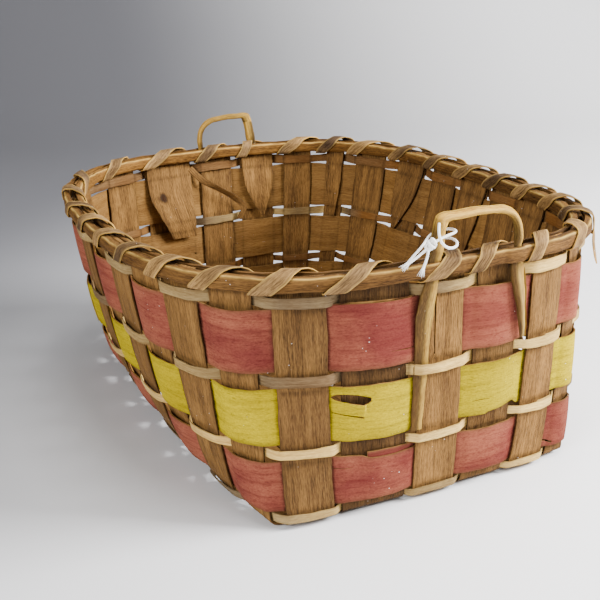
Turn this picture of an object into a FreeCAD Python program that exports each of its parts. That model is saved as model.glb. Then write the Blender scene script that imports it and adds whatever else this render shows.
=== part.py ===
import FreeCAD, Part
import bisect
import math
import os

import Sketcher

# A woven splint fruit basket: fourteen flat uprights woven through the floor and folded up as walls, seven
# rows of splint woven round them, two rim hoops lashed on with a splint, two carved handles and a tie of
# cotton string.  Millimetres, +X along the length towards the handle with the string, +Z up, origin on the
# table under the middle of the floor.

Vector = FreeCAD.Vector

doc = FreeCAD.newDocument("fruit_basket")

# ---------------------------------------------------------------- driving dimensions
DIMENSIONS = {
    "base_length": 374.0,         # floor, along X
    "base_width": 210.0,          # floor, along Y
    "wall_height": 150.0,         # table to the underside of the hoops
    "mouth_length": 397.4,        # wall's middle surface at the hoops, along X
    "mouth_width": 310.0,
    "square_handle_left": 2.77,   # how square each corner of the mouth is; 2 is an ellipse
    "square_handle_right": 3.95,
    "square_back_right": 2.91,
    "square_back_left": 2.85,
    "flare": 0.414,               # how soon the wall leans out on its way up; 1 is a straight slope
    "upright_thick": 1.2,
    "weaver_thick": 1.0,
    "play": 0.3,                  # air between splints that cross
    "long_first": -81.0,          # middle of the leftmost long upright on the floor, along Y
    "long_gap": 4.6,              # air between long uprights on the floor
    "cross_first": 167.7,         # middle of the first cross upright on the floor, along X
    "cross_gap": 14.0,
    "front_splay_left": 1.04,     # mouth position over floor position, on the handle-with-string end
    "front_splay_right": 1.17,
    "back_splay": 1.15,
    "back_shift": 5.0,
    "left_first": 160.0,          # middle of the first cross upright at the mouth, left wall
    "left_pitch": 32.0,
    "left_growth": 3.5,
    "right_first": 152.0,
    "right_pitch": 31.0,
    "right_growth": 3.2,
    "narrow_width": 9.0,
    "row_0": 5.0,                 # heights of the middles of the narrow rows
    "row_2": 46.7,
    "row_4": 92.8,
    "row_6": 143.3,
    "row_gap": 0.7,               # air between a wide row and the narrow rows beside it
    "hoop_height": 10.0,
    "hoop_thick": 5.0,
    "tail_end": 90.0,             # height where a folded upright's tail ends inside
    "lashing_width": 6.0,
    "lashing_thick": 0.8,
    "handle_rise": 38.0,          # handle's top over the underside of the hoops
    "front_span": 63.0,           # middle of the long leg to the outside of the bent leg
    "back_span": 53.0,
    "front_leg_y": -4.5,          # where the long leg crosses the hoops
    "back_leg_y": 46.0,
    "long_leg": 98.0,             # length of each leg below the hoops
    "short_leg": 32.0,
    "bend_radius": 17.0,
    "grip_thick": 5.0,
    "string_thick": 1.4,
}
LONG_WIDTHS = (31.0, 43.0, 30.0, 31.0, 26.0, 17.0)
CROSS_WIDTHS = (28.0, 30.0, 33.0, 34.0, 34.0, 34.0, 34.0, 34.0)

sheet = doc.addObject("Spreadsheet::Sheet", "sizes")
for line, (alias, value) in enumerate(DIMENSIONS.items(), start=1):
    sheet.set(f"A{line}", alias)
    sheet.set(f"B{line}", str(value))
    sheet.setAlias(f"B{line}", alias)
doc.recompute()


def size(alias):
    return float(sheet.get(alias))


# ---------------------------------------------------------------- the wall's surface
HALF_LENGTH = size("base_length") / 2
HALF_WIDTH = size("base_width") / 2
MOUTH_X = size("mouth_length") / 2
MOUTH_Y = size("mouth_width") / 2
WALL = size("wall_height")


def squareness(x, y):
    """The mouth's exponent in the corner that (x, y) is in."""
    end = "handle" if x >= 0 else "back"
    return size(f"square_{end}_{'left' if y < 0 else 'right'}")


def outline_point(angle):
    """A point of the mouth's outline, which is a superellipse with its own exponent in each corner."""
    c, s = math.cos(angle), math.sin(angle)
    power = squareness(c, s)
    reach = (abs(c / MOUTH_X) ** power + abs(s / MOUTH_Y) ** power) ** (-1 / power)
    return Vector(c * reach, s * reach, 0)


SAMPLES = 5760
OUTLINE = [outline_point(2 * math.pi * i / SAMPLES) for i in range(SAMPLES + 1)]
WAYS = [0.0]                       # distance along the outline, anticlockwise from +X, at each sample
for near, far in zip(OUTLINE, OUTLINE[1:]):
    WAYS.append(WAYS[-1] + (far - near).Length)
ROUND = WAYS[-1]


def mouth_at(way):
    """The outline's point at a distance along it."""
    way %= ROUND
    i = min(bisect.bisect_right(WAYS, way), SAMPLES) - 1
    part = (way - WAYS[i]) / (WAYS[i + 1] - WAYS[i])
    return OUTLINE[i] * (1 - part) + OUTLINE[i + 1] * part


def mouth_normal(way):
    """The outline's outward direction there."""
    along = mouth_at(way + 2.0) - mouth_at(way - 2.0)
    return Vector(along.y, -along.x, 0).normalize()


SIDES = {                          # middle of each side of the floor, and its outward direction
    "front": (Vector(HALF_LENGTH, 0, 0), Vector(1, 0, 0)),
    "right": (Vector(0, HALF_WIDTH, 0), Vector(0, 1, 0)),
    "back": (Vector(-HALF_LENGTH, 0, 0), Vector(-1, 0, 0)),
    "left": (Vector(0, -HALF_WIDTH, 0), Vector(0, -1, 0)),
}


def way_at(side, along):
    """How far round the outline a side's coordinate, Y on the front and back and X on the others, lies."""
    facing = SIDES[side][1]
    axis = 1 if facing.x else 0
    own = [i for i in range(SAMPLES) if OUTLINE[i].dot(facing) > 0]
    return WAYS[min(own, key=lambda i: abs(OUTLINE[i][axis] - along))]


WALL_HEIGHTS = (0.0, 3.0, 9.0, 20.0, 34.0, 52.0, 75.0, 100.0, 125.0, WALL)   # where the wall's slope changes
LEANS = [(z / WALL) ** size("flare") for z in WALL_HEIGHTS]


def lean_at(height):
    """The wall's share of the way out from the floor's edge to the mouth, straight between its heights."""
    if height >= WALL:
        return 1.0
    i = bisect.bisect_right(WALL_HEIGHTS, height) - 1
    part = (height - WALL_HEIGHTS[i]) / (WALL_HEIGHTS[i + 1] - WALL_HEIGHTS[i])
    return LEANS[i] * (1 - part) + LEANS[i + 1] * part


class Station:
    """A place on the wall's way round: a point of the floor's edge joined to a point of the mouth."""

    def __init__(self, foot, facing, way, front=None, half=0.0, side=None):
        self.foot, self.facing, self.way = foot, facing, way
        self.front, self.half, self.side = front, half, side

    def shifted(self, across):
        """The same station moved along the wall by across, anticlockwise."""
        along = Vector(-self.facing.y, self.facing.x, 0)
        return Station(self.foot + along * across, self.facing, self.way + across)

    def point(self, height, out=0.0, across=0.0):
        """The wall's middle surface at this height, moved outwards by out and along by across."""
        place = self.shifted(across)
        lean = lean_at(height)
        where = place.foot * (1.0 - lean) + mouth_at(place.way) * lean
        outward = place.facing * (1.0 - lean) + mouth_normal(place.way) * lean
        where += outward.normalize() * out
        return Vector(where.x, where.y, height)


def middles(first, widths, gap):
    """The middles of strips laid side by side with a gap, from the first one's middle."""
    places = [first]
    for before, width in zip(widths, widths[1:]):
        places.append(places[-1] + before / 2 + gap + width / 2)
    return places


LONG_Y = middles(size("long_first"), LONG_WIDTHS, size("long_gap"))
CROSS_X = [-x for x in middles(-size("cross_first"), CROSS_WIDTHS, size("cross_gap"))]


def long_station(number, side):
    """Where a long upright climbs the front or the back wall; every other one is in front of the wide rows."""
    y = LONG_Y[number]
    middle, facing = SIDES[side]
    if side == "front":
        at_mouth = y * size("front_splay_left" if y < 0 else "front_splay_right")
    else:
        at_mouth = y * size("back_splay") + size("back_shift")
    front = number % 2 == (0 if side == "front" else 1)
    foot = Vector(middle.x, y, 0)
    return Station(foot, facing, way_at(side, at_mouth), front, LONG_WIDTHS[number] / 2, side)


def cross_station(number, side):
    """Where a cross upright climbs the left or the right wall."""
    middle, facing = SIDES[side]
    first, pitch, growth = (size(f"{side}_{word}") for word in ("first", "pitch", "growth"))
    at_mouth = first - pitch * number - growth * number * (number - 1) / 2
    front = number % 2 == (0 if side == "right" else 1)
    foot = Vector(CROSS_X[number], middle.y, 0)
    return Station(foot, facing, way_at(side, at_mouth), front, CROSS_WIDTHS[number] / 2, side)


LONGS = range(len(LONG_WIDTHS))
CROSSES = range(len(CROSS_WIDTHS))
UPRIGHTS = (
    [long_station(n, "front") for n in LONGS]
    + [cross_station(n, "right") for n in CROSSES]
    + [long_station(n, "back") for n in reversed(LONGS)]
    + [cross_station(n, "left") for n in reversed(CROSSES)]
)


WIDE_CORNER = 20.0                 # a corner with more room than this between its uprights gets three stations


def corner_stations(before, after):
    """Stations across a corner, between the edges of the uprights on each side of it."""
    start, end = before.shifted(before.half), after.shifted(-after.half)
    if before.side in ("front", "back"):
        corner = Vector(start.foot.x, end.foot.y, 0)
    else:
        corner = Vector(end.foot.x, start.foot.y, 0)
    sweep = (end.way - start.way) % ROUND
    stations = []
    for part in (0.25, 0.5, 0.75) if sweep > WIDE_CORNER else (0.5,):
        if part < 0.5:
            foot = start.foot + (corner - start.foot) * (2 * part)
        else:
            foot = corner + (end.foot - corner) * (2 * part - 1)
        facing = (before.facing * (1 - part) + after.facing * part).normalize()
        stations.append((part, Station(foot, facing, start.way + sweep * part)))
    return stations


# ---------------------------------------------------------------- strips
FLAT = 1e-8                        # how far a face's fourth corner may lie off the plane of the others


def flat_faces(corners):
    """One flat face through four corners, or two triangles where they aren't flat."""
    a, b, c, d = corners
    normal = (b - a).cross(c - a)
    if normal.Length < FLAT or abs((d - a).dot(normal.normalize())) > FLAT:
        return [Part.Face(Part.makePolygon([a, b, c, a])), Part.Face(Part.makePolygon([a, c, d, a]))]
    return [Part.Face(Part.makePolygon([a, b, c, d, a]))]


def end_faces(corners):
    """The faces that close a strip's end: the corners go up one side of the section and down the other."""
    last = len(corners) - 1
    faces = []
    for i in range(len(corners) // 2 - 1):
        faces += flat_faces([corners[i], corners[i + 1], corners[last - 1 - i], corners[last - i]])
    return faces


def strip(sections):
    """A solid strip through sections that all have the same number of corners, in the same order."""
    faces = end_faces(sections[0]) + end_faces(sections[-1])
    for this, following in zip(sections, sections[1:]):
        for i in range(len(this)):
            j = (i + 1) % len(this)
            faces += flat_faces([this[i], this[j], following[j], following[i]])
    shell = Part.makeShell(faces)
    shell.sewShape()
    solid = Part.makeSolid(shell)
    if solid.Volume < 0:
        solid.reverse()
    return solid


def node(name, shape):
    """A sub-part of the document whose shape is worked out here."""
    feature = doc.addObject("Part::Feature", name)
    feature.Label = name
    feature.Shape = shape
    feature.Placement = FreeCAD.Placement()
    return feature


UPRIGHT_THICK = size("upright_thick")
WEAVER_THICK = size("weaver_thick")
PLAY = size("play")
FROM_MIDDLE = (UPRIGHT_THICK + WEAVER_THICK) / 4 + PLAY / 2    # upright or wide weaver from the wall's middle
NARROW_OUT = FROM_MIDDLE + (UPRIGHT_THICK + WEAVER_THICK) / 2 + PLAY
TAIL_OUT = -FROM_MIDDLE - (UPRIGHT_THICK + WEAVER_THICK) / 2 - PLAY
FOLD_TOP = WALL + size("hoop_height") - 2.0
TAIL_HEIGHTS = (WALL, 125.0, 100.0)
TAIL_TIP = 6.0                     # width of the tail's cut end


def wall_section(station, height, out, half, thick):
    """A six-cornered section of an upright on the wall: it bends with the wall across its width."""
    spots = (-half, 0.0, half)
    outer = [station.point(height, out + thick / 2, spot) for spot in spots]
    inner = [station.point(height, out - thick / 2, spot) for spot in reversed(spots)]
    return outer + inner


def climbing(station):
    """An upright's sections from just over the floor to its end, cut flush or folded down inside."""
    out = FROM_MIDDLE if station.front else -FROM_MIDDLE
    sections = [wall_section(station, z, out, station.half, UPRIGHT_THICK) for z in WALL_HEIGHTS[1:]]
    if not station.front:
        return sections + [wall_section(station, FOLD_TOP, out, station.half, UPRIGHT_THICK)]
    half_thick = UPRIGHT_THICK / 2
    spots = (-station.half, 0.0, station.half)
    crease = FOLD_TOP - UPRIGHT_THICK
    for high, low in ((out + half_thick, out - half_thick), (TAIL_OUT - half_thick, TAIL_OUT + half_thick)):
        sections.append(
            [station.point(FOLD_TOP, high, spot) for spot in spots]
            + [station.point(crease, low, spot) for spot in reversed(spots)]
        )
    for z in TAIL_HEIGHTS + (size("tail_end"),):
        fall = (WALL - z) / (WALL - size("tail_end"))
        half = station.half + (TAIL_TIP / 2 - station.half) * fall
        section = wall_section(station, z, TAIL_OUT, half, UPRIGHT_THICK)
        sections.append(section[5:2:-1] + section[2::-1])
    return sections


FLOOR_LOW = UPRIGHT_THICK / 2
FLOOR_HIGH = FLOOR_LOW + UPRIGHT_THICK + PLAY


def floor_sections(is_long, number):
    """An upright's sections along the floor, over and under the strips that cross it."""
    half = (LONG_WIDTHS if is_long else CROSS_WIDTHS)[number] / 2
    crossed = list(zip(CROSS_X, CROSS_WIDTHS)) if is_long else list(zip(LONG_Y, LONG_WIDTHS))
    if not is_long:
        crossed.reverse()
    own = LONG_Y[number] if is_long else CROSS_X[number]
    sections = []
    for place, (middle, width) in enumerate(crossed):
        other = place if is_long else len(crossed) - 1 - place
        low = ((number + other) % 2 == 0) == is_long
        level = FLOOR_LOW if low else FLOOR_HIGH
        for run in (middle + width / 2, middle - width / 2):
            spots = (own - half, own, own + half)
            under = [(run, spot, level - UPRIGHT_THICK / 2) for spot in spots]
            over = [(run, spot, level + UPRIGHT_THICK / 2) for spot in reversed(spots)]
            corners = [Vector(*c) if is_long else Vector(c[1], c[0], c[2]) for c in under + over]
            sections.append(corners)
    return sections


def upright(is_long, number):
    """One whole strip: down from one end, across the floor and up to the other."""
    if is_long:
        first, last = long_station(number, "front"), long_station(number, "back")
    else:
        first, last = cross_station(number, "right"), cross_station(number, "left")
    start = list(reversed(climbing(first)))
    middle = floor_sections(is_long, number)
    if not is_long:
        middle = [corners[2::-1] + corners[:2:-1] for corners in middle]
    end = [corners[2::-1] + corners[:2:-1] for corners in climbing(last)]
    return strip(start + middle + end)


for n in LONGS:
    node(f"long_upright_{n + 1}", upright(True, n))
for n in CROSSES:
    node(f"cross_upright_{n + 1}", upright(False, n))

# ---------------------------------------------------------------- weavers
HALF_NARROW = size("narrow_width") / 2
LEG_ROW = "row_4"
LEG_ROOM = {2: 1.7, 16: 2.5}       # how far that row stands off, on the uprights with a handle's long leg
ENDS_GAP = 0.5


def ring(out_at, section_at, start):
    """A strip once round the wall, with its ends ENDS_GAP apart at the middle of the upright start.
    out_at gives each upright's distance out, and section_at the strip's section at a station."""
    count = len(UPRIGHTS)
    stops = [(UPRIGHTS[start], out_at(start)), (UPRIGHTS[start].shifted(UPRIGHTS[start].half), out_at(start))]
    for number in [(start + i) % count for i in range(count)]:
        this, following = UPRIGHTS[number], UPRIGHTS[(number + 1) % count]
        out, out_next = out_at(number), out_at((number + 1) % count)
        if following.side != this.side:
            for part, corner in corner_stations(this, following):
                stops.append((corner, out + (out_next - out) * part))
        stops.append((following.shifted(-following.half), out_next))
        if (number + 1) % count != start:
            stops.append((following, out_next))
            stops.append((following.shifted(following.half), out_next))
    stops.append((UPRIGHTS[start].shifted(-ENDS_GAP), out_at(start)))
    return strip([section_at(station, out) for station, out in stops])


def weaver(low, high, out_at, start):
    """One row of splint between two heights."""
    half = WEAVER_THICK / 2
    heights = [low] + [z for z in WALL_HEIGHTS if low < z < high] + [high]

    def section(station, out):
        outer = [station.point(z, out + half) for z in heights]
        inner = [station.point(z, out - half) for z in reversed(heights)]
        return outer + inner

    return ring(out_at, section, start)


def narrow_out(row):
    def out_at(number):
        out = NARROW_OUT if UPRIGHTS[number].front else -NARROW_OUT
        return out + (LEG_ROOM.get(number, 0.0) if row == LEG_ROW else 0.0)

    return out_at


def wide_out(number):
    return -FROM_MIDDLE if UPRIGHTS[number].front else FROM_MIDDLE


NARROW_ROWS = {                    # each row's height, and the upright where its ends meet
    "weaver_narrow_base": ("row_0", 17),
    "weaver_narrow_low": ("row_2", 6),
    "weaver_narrow_middle": ("row_4", 6),
    "weaver_narrow_top": ("row_6", 22),
}
for name, (row, start) in NARROW_ROWS.items():
    low, high = max(size(row) - HALF_NARROW, WALL_HEIGHTS[1]), size(row) + HALF_NARROW
    node(name, weaver(low, high, narrow_out(row), start))

WIDE_ROWS = {                      # the narrow rows below and above each wide row, and where its ends meet
    "weaver_red_low": ("row_0", "row_2", 2),
    "weaver_yellow": ("row_2", "row_4", 20),
    "weaver_red_high": ("row_4", "row_6", 18),
}
for name, (below, above, start) in WIDE_ROWS.items():
    reach = HALF_NARROW + size("row_gap")
    node(name, weaver(size(below) + reach, size(above) - reach, wide_out, start))

# ---------------------------------------------------------------- rim hoops
HOOP = size("hoop_height")
HOOP_THICK = size("hoop_thick")
HOOP_OUT = FROM_MIDDLE + UPRIGHT_THICK / 2 + PLAY              # flat face of the outer hoop
HOOP_IN = TAIL_OUT - UPRIGHT_THICK / 2 - PLAY                  # flat face of the inner hoop
HOOP_EDGE = 1.6                    # how much of the height each rounded corner takes
HOOP_SHOULDER = 1.3                # how much of the thickness it takes


def hoop(face, sign, start):
    """A half-round hoop against the wall: a flat face at face and a rounded one on the sign's side."""
    profile = (
        (0.0, 0.0),
        (HOOP_THICK - HOOP_SHOULDER, 0.0),
        (HOOP_THICK, HOOP_EDGE),
        (HOOP_THICK, HOOP - HOOP_EDGE),
        (HOOP_THICK - HOOP_SHOULDER, HOOP),
        (0.0, HOOP),
    )

    def section(station, _):
        return [station.point(WALL + up, face + sign * out) for out, up in profile]

    return ring(lambda number: 0.0, section, start)


# ---------------------------------------------------------------- handles
GRIP_IN = NARROW_OUT + WEAVER_THICK / 2 + PLAY - 1.4           # grip's inner face from the wall's middle
LEG_X = (1.4, 3.7)                 # the leg's two faces from the grip's inner face, where it passes the hoops
TUCK_X = (0.1, 1.3)                # and where it is shaved thin to lie against its upright
OUTLINE_LEFT = 11.0                # from the outline's left edge to the middle of the long leg at the hoops


def outline_sketch(body, name, role, corners):
    """A closed outline of straight lines on one of the body's own planes; corners are pairs of formulas."""
    sketch = body.newObject("Sketcher::SketchObject", name)
    plane = next(p for p in body.Origin.OriginFeatures if p.Role == role)
    sketch.AttachmentSupport = (plane, "")
    sketch.MapMode = "FlatFace"
    spots = [Vector(float(sheet.evalExpression(a)), float(sheet.evalExpression(u)), 0) for a, u in corners]
    for this, following in zip(spots, spots[1:] + spots[:1]):
        sketch.addGeometry(Part.LineSegment(this, following), False)
    for line in range(len(corners)):
        joined = Sketcher.Constraint("Coincident", line, 2, (line + 1) % len(corners), 1)
        sketch.addConstraint(joined)
    for line, (across, up) in enumerate(corners):
        for kind, formula, value in (("DistanceX", across, spots[line].x), ("DistanceY", up, spots[line].y)):
            number = sketch.addConstraint(Sketcher.Constraint(kind, -1, 1, line, 1, value))
            sketch.setExpression(f"Constraints[{number}]", formula)
    return sketch


def edge_near(shape, across, up):
    """The name of the straight edge across the grip's thickness that is nearest to this corner."""
    best = min(
        (i for i, e in enumerate(shape.Edges) if abs(e.tangentAt(e.FirstParameter).x) > 0.99),
        key=lambda i: math.hypot(
            shape.Edges[i].CenterOfMass.y - across, shape.Edges[i].CenterOfMass.z - up
        ),
    )
    return f"Edge{best + 1}"


def handle(name, span_alias):
    """A carved grip with a square corner on its long leg and a bend on its short one."""
    body = doc.addObject("PartDesign::Body", name)
    body.Label = name
    span, rise = f"sizes.{span_alias} + 11", "sizes.long_leg + sizes.handle_rise"
    hoops = "sizes.long_leg"
    corners = [
        ("0.5", "0"),
        ("7", hoops),
        ("12.5", f"{rise} - 1.5"),
        ("16", rise),
        (span, f"{rise} - 5"),
        (span, hoops),
        (f"{span} - 2.5", f"{hoops} - sizes.short_leg"),
        (f"{span} - 4", f"{hoops} - sizes.short_leg"),
        (f"{span} - 6.5", hoops),
        (f"{span} - 7", f"{rise} - 10.5"),
        ("19.5", f"{rise} - 6"),
        ("15.5", hoops),
        ("7", "0"),
    ]
    outline = outline_sketch(body, f"{name}_outline", "YZ_Plane", corners)
    pad = body.newObject("PartDesign::Pad", f"{name}_pad")
    pad.Profile = outline
    pad.setExpression("Length", "sizes.grip_thick")
    shaves = {
        "inside": [("0", "0"), (str(TUCK_X[0]), "0"), (str(TUCK_X[0]), f"{hoops} - 40"),
                   (str(LEG_X[0]), f"{hoops} - 20"), (str(LEG_X[0]), f"{hoops} + 11"), ("0", f"{hoops} + 14")],
        "outside": [("sizes.grip_thick", "0"), (str(TUCK_X[1]), "0"), (str(TUCK_X[1]), f"{hoops} - 42"),
                    (str(LEG_X[1]), f"{hoops} - 20"), (str(LEG_X[1]), f"{hoops} + 11"),
                    ("sizes.grip_thick", f"{hoops} + 14")],
    }
    for word, cut in shaves.items():
        profile = outline_sketch(body, f"{name}_{word}", "XZ_Plane", cut)
        pocket = body.newObject("PartDesign::Pocket", f"{name}_shave_{word}")
        pocket.Profile = profile
        pocket.Length = 400.0
        pocket.SideType = "Symmetric"
    doc.recompute()
    bends = (("bend", 0.0, 5.0, "sizes.bend_radius"), ("bend_inside", 7.0, 10.5, "sizes.bend_radius - 7"))
    for word, inset, drop, radius in bends:
        last = body.Tip
        across = float(sheet.evalExpression(span)) - inset
        up = float(sheet.evalExpression(rise)) - drop
        fillet = body.newObject("PartDesign::Fillet", f"{name}_{word}")
        fillet.Base = (last, [edge_near(last.Shape, across, up)])
        fillet.setExpression("Radius", radius)
        doc.recompute()
    return body


def place_handle(body, side, leg_y, span):
    """Stands a handle against its wall: its long leg at leg_y and its plane along the wall."""
    turn = 1 if side == "front" else -1
    leg = Station(*leg_foot(side, leg_y))
    far_leg = Station(*leg_foot(side, leg_y + turn * span))
    foot = leg.point(WALL, GRIP_IN)
    along = (far_leg.point(WALL, GRIP_IN) - foot).normalize()
    below = leg.point(WALL - 50.0, GRIP_IN)
    up = (foot - below).normalize()
    outward = along.cross(up).normalize()
    up = outward.cross(along)
    turned = FreeCAD.Rotation(outward, along, up, "XYZ")
    corner = foot - along * OUTLINE_LEFT - up * size("long_leg")
    body.Placement = FreeCAD.Placement(corner, turned)


def leg_foot(side, y):
    """A station's foot, facing and way for a coordinate on the front or back wall."""
    middle, facing = SIDES[side]
    return Vector(middle.x, y, 0), facing, way_at(side, y)


handle_front = handle("handle_front", "front_span")
place_handle(handle_front, "front", size("front_leg_y"), size("front_span"))
handle_back = handle("handle_back", "back_span")
place_handle(handle_back, "back", size("back_leg_y"), size("back_span"))


def notches(body, span):
    """The room that the outer hoop gives a handle's legs, as boxes in the handle's place."""
    boxes = []
    for left, right in ((6.5, 18.0), (span + OUTLINE_LEFT - 7.2, span + OUTLINE_LEFT + 0.4)):
        box = Part.makeBox(LEG_X[1] + 2.0, right - left, HOOP + 4.0)
        box.translate(Vector(-1.7, left, size("long_leg") - 2.0))
        box.Placement = body.Placement.multiply(box.Placement)
        boxes.append(box)
    return boxes


outer = hoop(HOOP_OUT, 1, 18)
for box in notches(handle_front, size("front_span")) + notches(handle_back, size("back_span")):
    outer = outer.cut(box)
if len(outer.Solids) != 1:
    raise RuntimeError("the notches for the handles cut the outer hoop in two")
node("hoop_outer", outer.Solids[0])
node("hoop_inner", hoop(HOOP_IN, -1, 24))

# ---------------------------------------------------------------- lashing
LASH_HALF = size("lashing_width") / 2
LASH_THICK = size("lashing_thick")
LASH_OFF = PLAY + LASH_THICK / 2
FACE_OUT = HOOP_OUT + HOOP_THICK + LASH_OFF
FACE_IN = HOOP_IN - HOOP_THICK - LASH_OFF
UNDER = WALL - LASH_OFF
OVER = WALL + HOOP + LASH_OFF
SOFT = 1.4                         # how far the strip cuts each corner of the hoops
MID_HOOP = WALL + HOOP / 2
WRAP = (                           # out, height and which way the strip's outer face looks, round the hoops
    (FACE_OUT - SOFT, UNDER, (0.0, -1.0)),
    (FACE_OUT, UNDER + SOFT, (1.0, -0.3)),
    (FACE_OUT, MID_HOOP, (1.0, 0.0)),
    (FACE_OUT, OVER - SOFT, (1.0, 0.3)),
    (FACE_OUT - SOFT, OVER, (0.3, 1.0)),
    (FACE_IN + SOFT, OVER, (-0.3, 1.0)),
    (FACE_IN, OVER - SOFT, (-1.0, 0.3)),
    (FACE_IN, MID_HOOP, (-1.0, 0.0)),
    (FACE_IN, UNDER + SOFT, (-1.0, -0.3)),
    (FACE_IN + SOFT, UNDER, (0.0, -1.0)),
)
SHARES = (0.0, 0.06, 0.25, 0.44, 0.52, 0.76, 0.84, 0.90, 0.96, 1.0)    # how far along its gap each one lies
PUSHED_GAP = 15                    # here the back handle's leg pushes the top of the wrap along
PUSHED = (0.0, 0.06, 0.30, 0.56, 0.76, 0.86, 0.90, 0.93, 0.97, 1.0)
FIRST_GAP = 5                      # the lashing starts and ends at the right corner of the front wall
LOOSE_END = ((FACE_OUT + 2.6, 131.0, -7.0), (FACE_OUT + 1.6, 141.0, -3.5))


def rim_section(way, out, height, looks):
    """A section of the lashing strip across the way round, with its outer face looking out of the rim."""
    tilt = Vector(*looks, 0).normalize() * (LASH_THICK / 2)
    corners = []
    for across, sign in ((-LASH_HALF, 1), (LASH_HALF, 1), (LASH_HALF, -1), (-LASH_HALF, -1)):
        place = way + across
        where = mouth_at(place) + mouth_normal(place) * (out + sign * tilt.x)
        corners.append(Vector(where.x, where.y, height + sign * tilt.y))
    return corners


def gap_way(number):
    """The middle of the gap after an upright, as a distance along the outline."""
    before, after = UPRIGHTS[number % len(UPRIGHTS)], UPRIGHTS[(number + 1) % len(UPRIGHTS)]
    start = before.way + before.half
    return start + ((after.way - after.half - start) % ROUND) / 2


sections = [
    rim_section(gap_way(FIRST_GAP) + along, out, height, (1.0, 0.0)) for out, height, along in LOOSE_END
]
for gap in range(FIRST_GAP, FIRST_GAP + len(UPRIGHTS)):
    start = gap_way(gap)
    pitch = (gap_way(gap + 1) - start) % ROUND
    shares = PUSHED if gap == PUSHED_GAP else SHARES
    sections += [rim_section(start + pitch * share, *spot) for share, spot in zip(shares, WRAP)]
del sections[len(LOOSE_END)]       # the first wrap comes straight out of the loose end
node("rim_lashing", strip(sections[:-1]))

# ---------------------------------------------------------------- tie of cotton string
STRING = size("string_thick")
UPPER_STRING = [                   # tied round the long leg of the front handle, both ends hanging outwards
    (207.4, -27.0, 162.6), (208.2, -22.6, 165.2), (209.0, -18.0, 168.4), (209.5, -13.4, 171.8),
    (209.6, -8.6, 174.6), (209.4, -3.4, 176.0), (208.9, 1.6, 176.8), (207.9, 4.7, 177.1),
    (205.3, 6.6, 177.2), (202.0, 6.6, 177.2), (199.4, 4.7, 177.1), (198.3, 1.6, 176.8),
    (198.4, -2.6, 176.2), (200.0, -8.2, 174.8), (203.2, -12.8, 172.2),
    (204.4, -17.2, 169.0), (204.2, -21.2, 165.6), (203.8, -24.4, 162.0),
]
LOWER_STRING = [                   # a looser loop below it, with one end up and one hanging
    (206.8, -5.6, 183.4), (209.4, -7.6, 180.2), (212.0, -8.4, 176.4), (212.9, -6.6, 172.2),
    (212.4, -1.6, 169.4), (210.4, 4.2, 169.4), (205.4, 7.6, 170.8), (199.8, 5.6, 172.0),
    (197.6, -0.4, 171.6), (199.4, -6.4, 170.4), (203.8, -10.6, 169.0), (208.0, -13.6, 166.8),
    (210.4, -16.4, 163.4), (210.8, -18.6, 159.4),
]


def string(route):
    """A round string along straight runs joined by arcs as large as the runs allow."""
    spots = [Vector(*p) for p in route]
    edges, start, radii = [], spots[0], []
    for before, here, after in zip(spots, spots[1:], spots[2:]):
        back, ahead = (before - here).normalize(), (after - here).normalize()
        half_turn = (math.pi - back.getAngle(ahead)) / 2
        reach = 0.45 * min((here - before).Length, (after - here).Length)
        radius = reach / math.tan(half_turn)
        radii.append(radius)
        inside = (back + ahead).normalize()
        middle = here + inside * (radius / math.cos(half_turn) - radius)
        edges.append(Part.LineSegment(start, here + back * reach).toShape())
        edges.append(Part.Arc(here + back * reach, middle, here + ahead * reach).toShape())
        start = here + ahead * reach
    edges.append(Part.LineSegment(start, spots[-1]).toShape())
    path = Part.Wire(edges)
    circle = Part.Wire(Part.Circle(spots[0], spots[1] - spots[0], STRING / 2).toShape())
    solid = path.makePipeShell([circle], True, True)
    section = math.pi * STRING**2 / 4
    print(f"string: {path.Length:.1f} mm, volume over section times length "
          f"{solid.Volume / (section * path.Length):.4f}, radii {', '.join(f'{r:.1f}' for r in radii)}")
    return solid


node("string_upper", string(UPPER_STRING))
node("string_lower", string(LOWER_STRING))

# ---------------------------------------------------------------- checks and files
doc.recompute()
sub_parts = [o for o in doc.Objects if o.TypeId in ("Part::Feature", "PartDesign::Body")]
for thing in doc.Objects:
    if "Invalid" in thing.State or "Error" in thing.State:
        raise RuntimeError(f"{thing.Name} failed: {thing.State}")
for thing in sub_parts:
    if thing.Shape.isNull() or not thing.Shape.isValid() or len(thing.Shape.Solids) != 1:
        raise RuntimeError(f"{thing.Label} is not one valid solid")

os.makedirs("parts", exist_ok=True)
for thing in sub_parts:
    thing.Shape.exportStep(os.path.join("parts", f"{thing.Label}.step"))
print(f"{len(sub_parts)} sub-parts")
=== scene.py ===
import math
import random
from collections import namedtuple

import bmesh
import bpy
import numpy as np
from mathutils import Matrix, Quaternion, Vector


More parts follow.
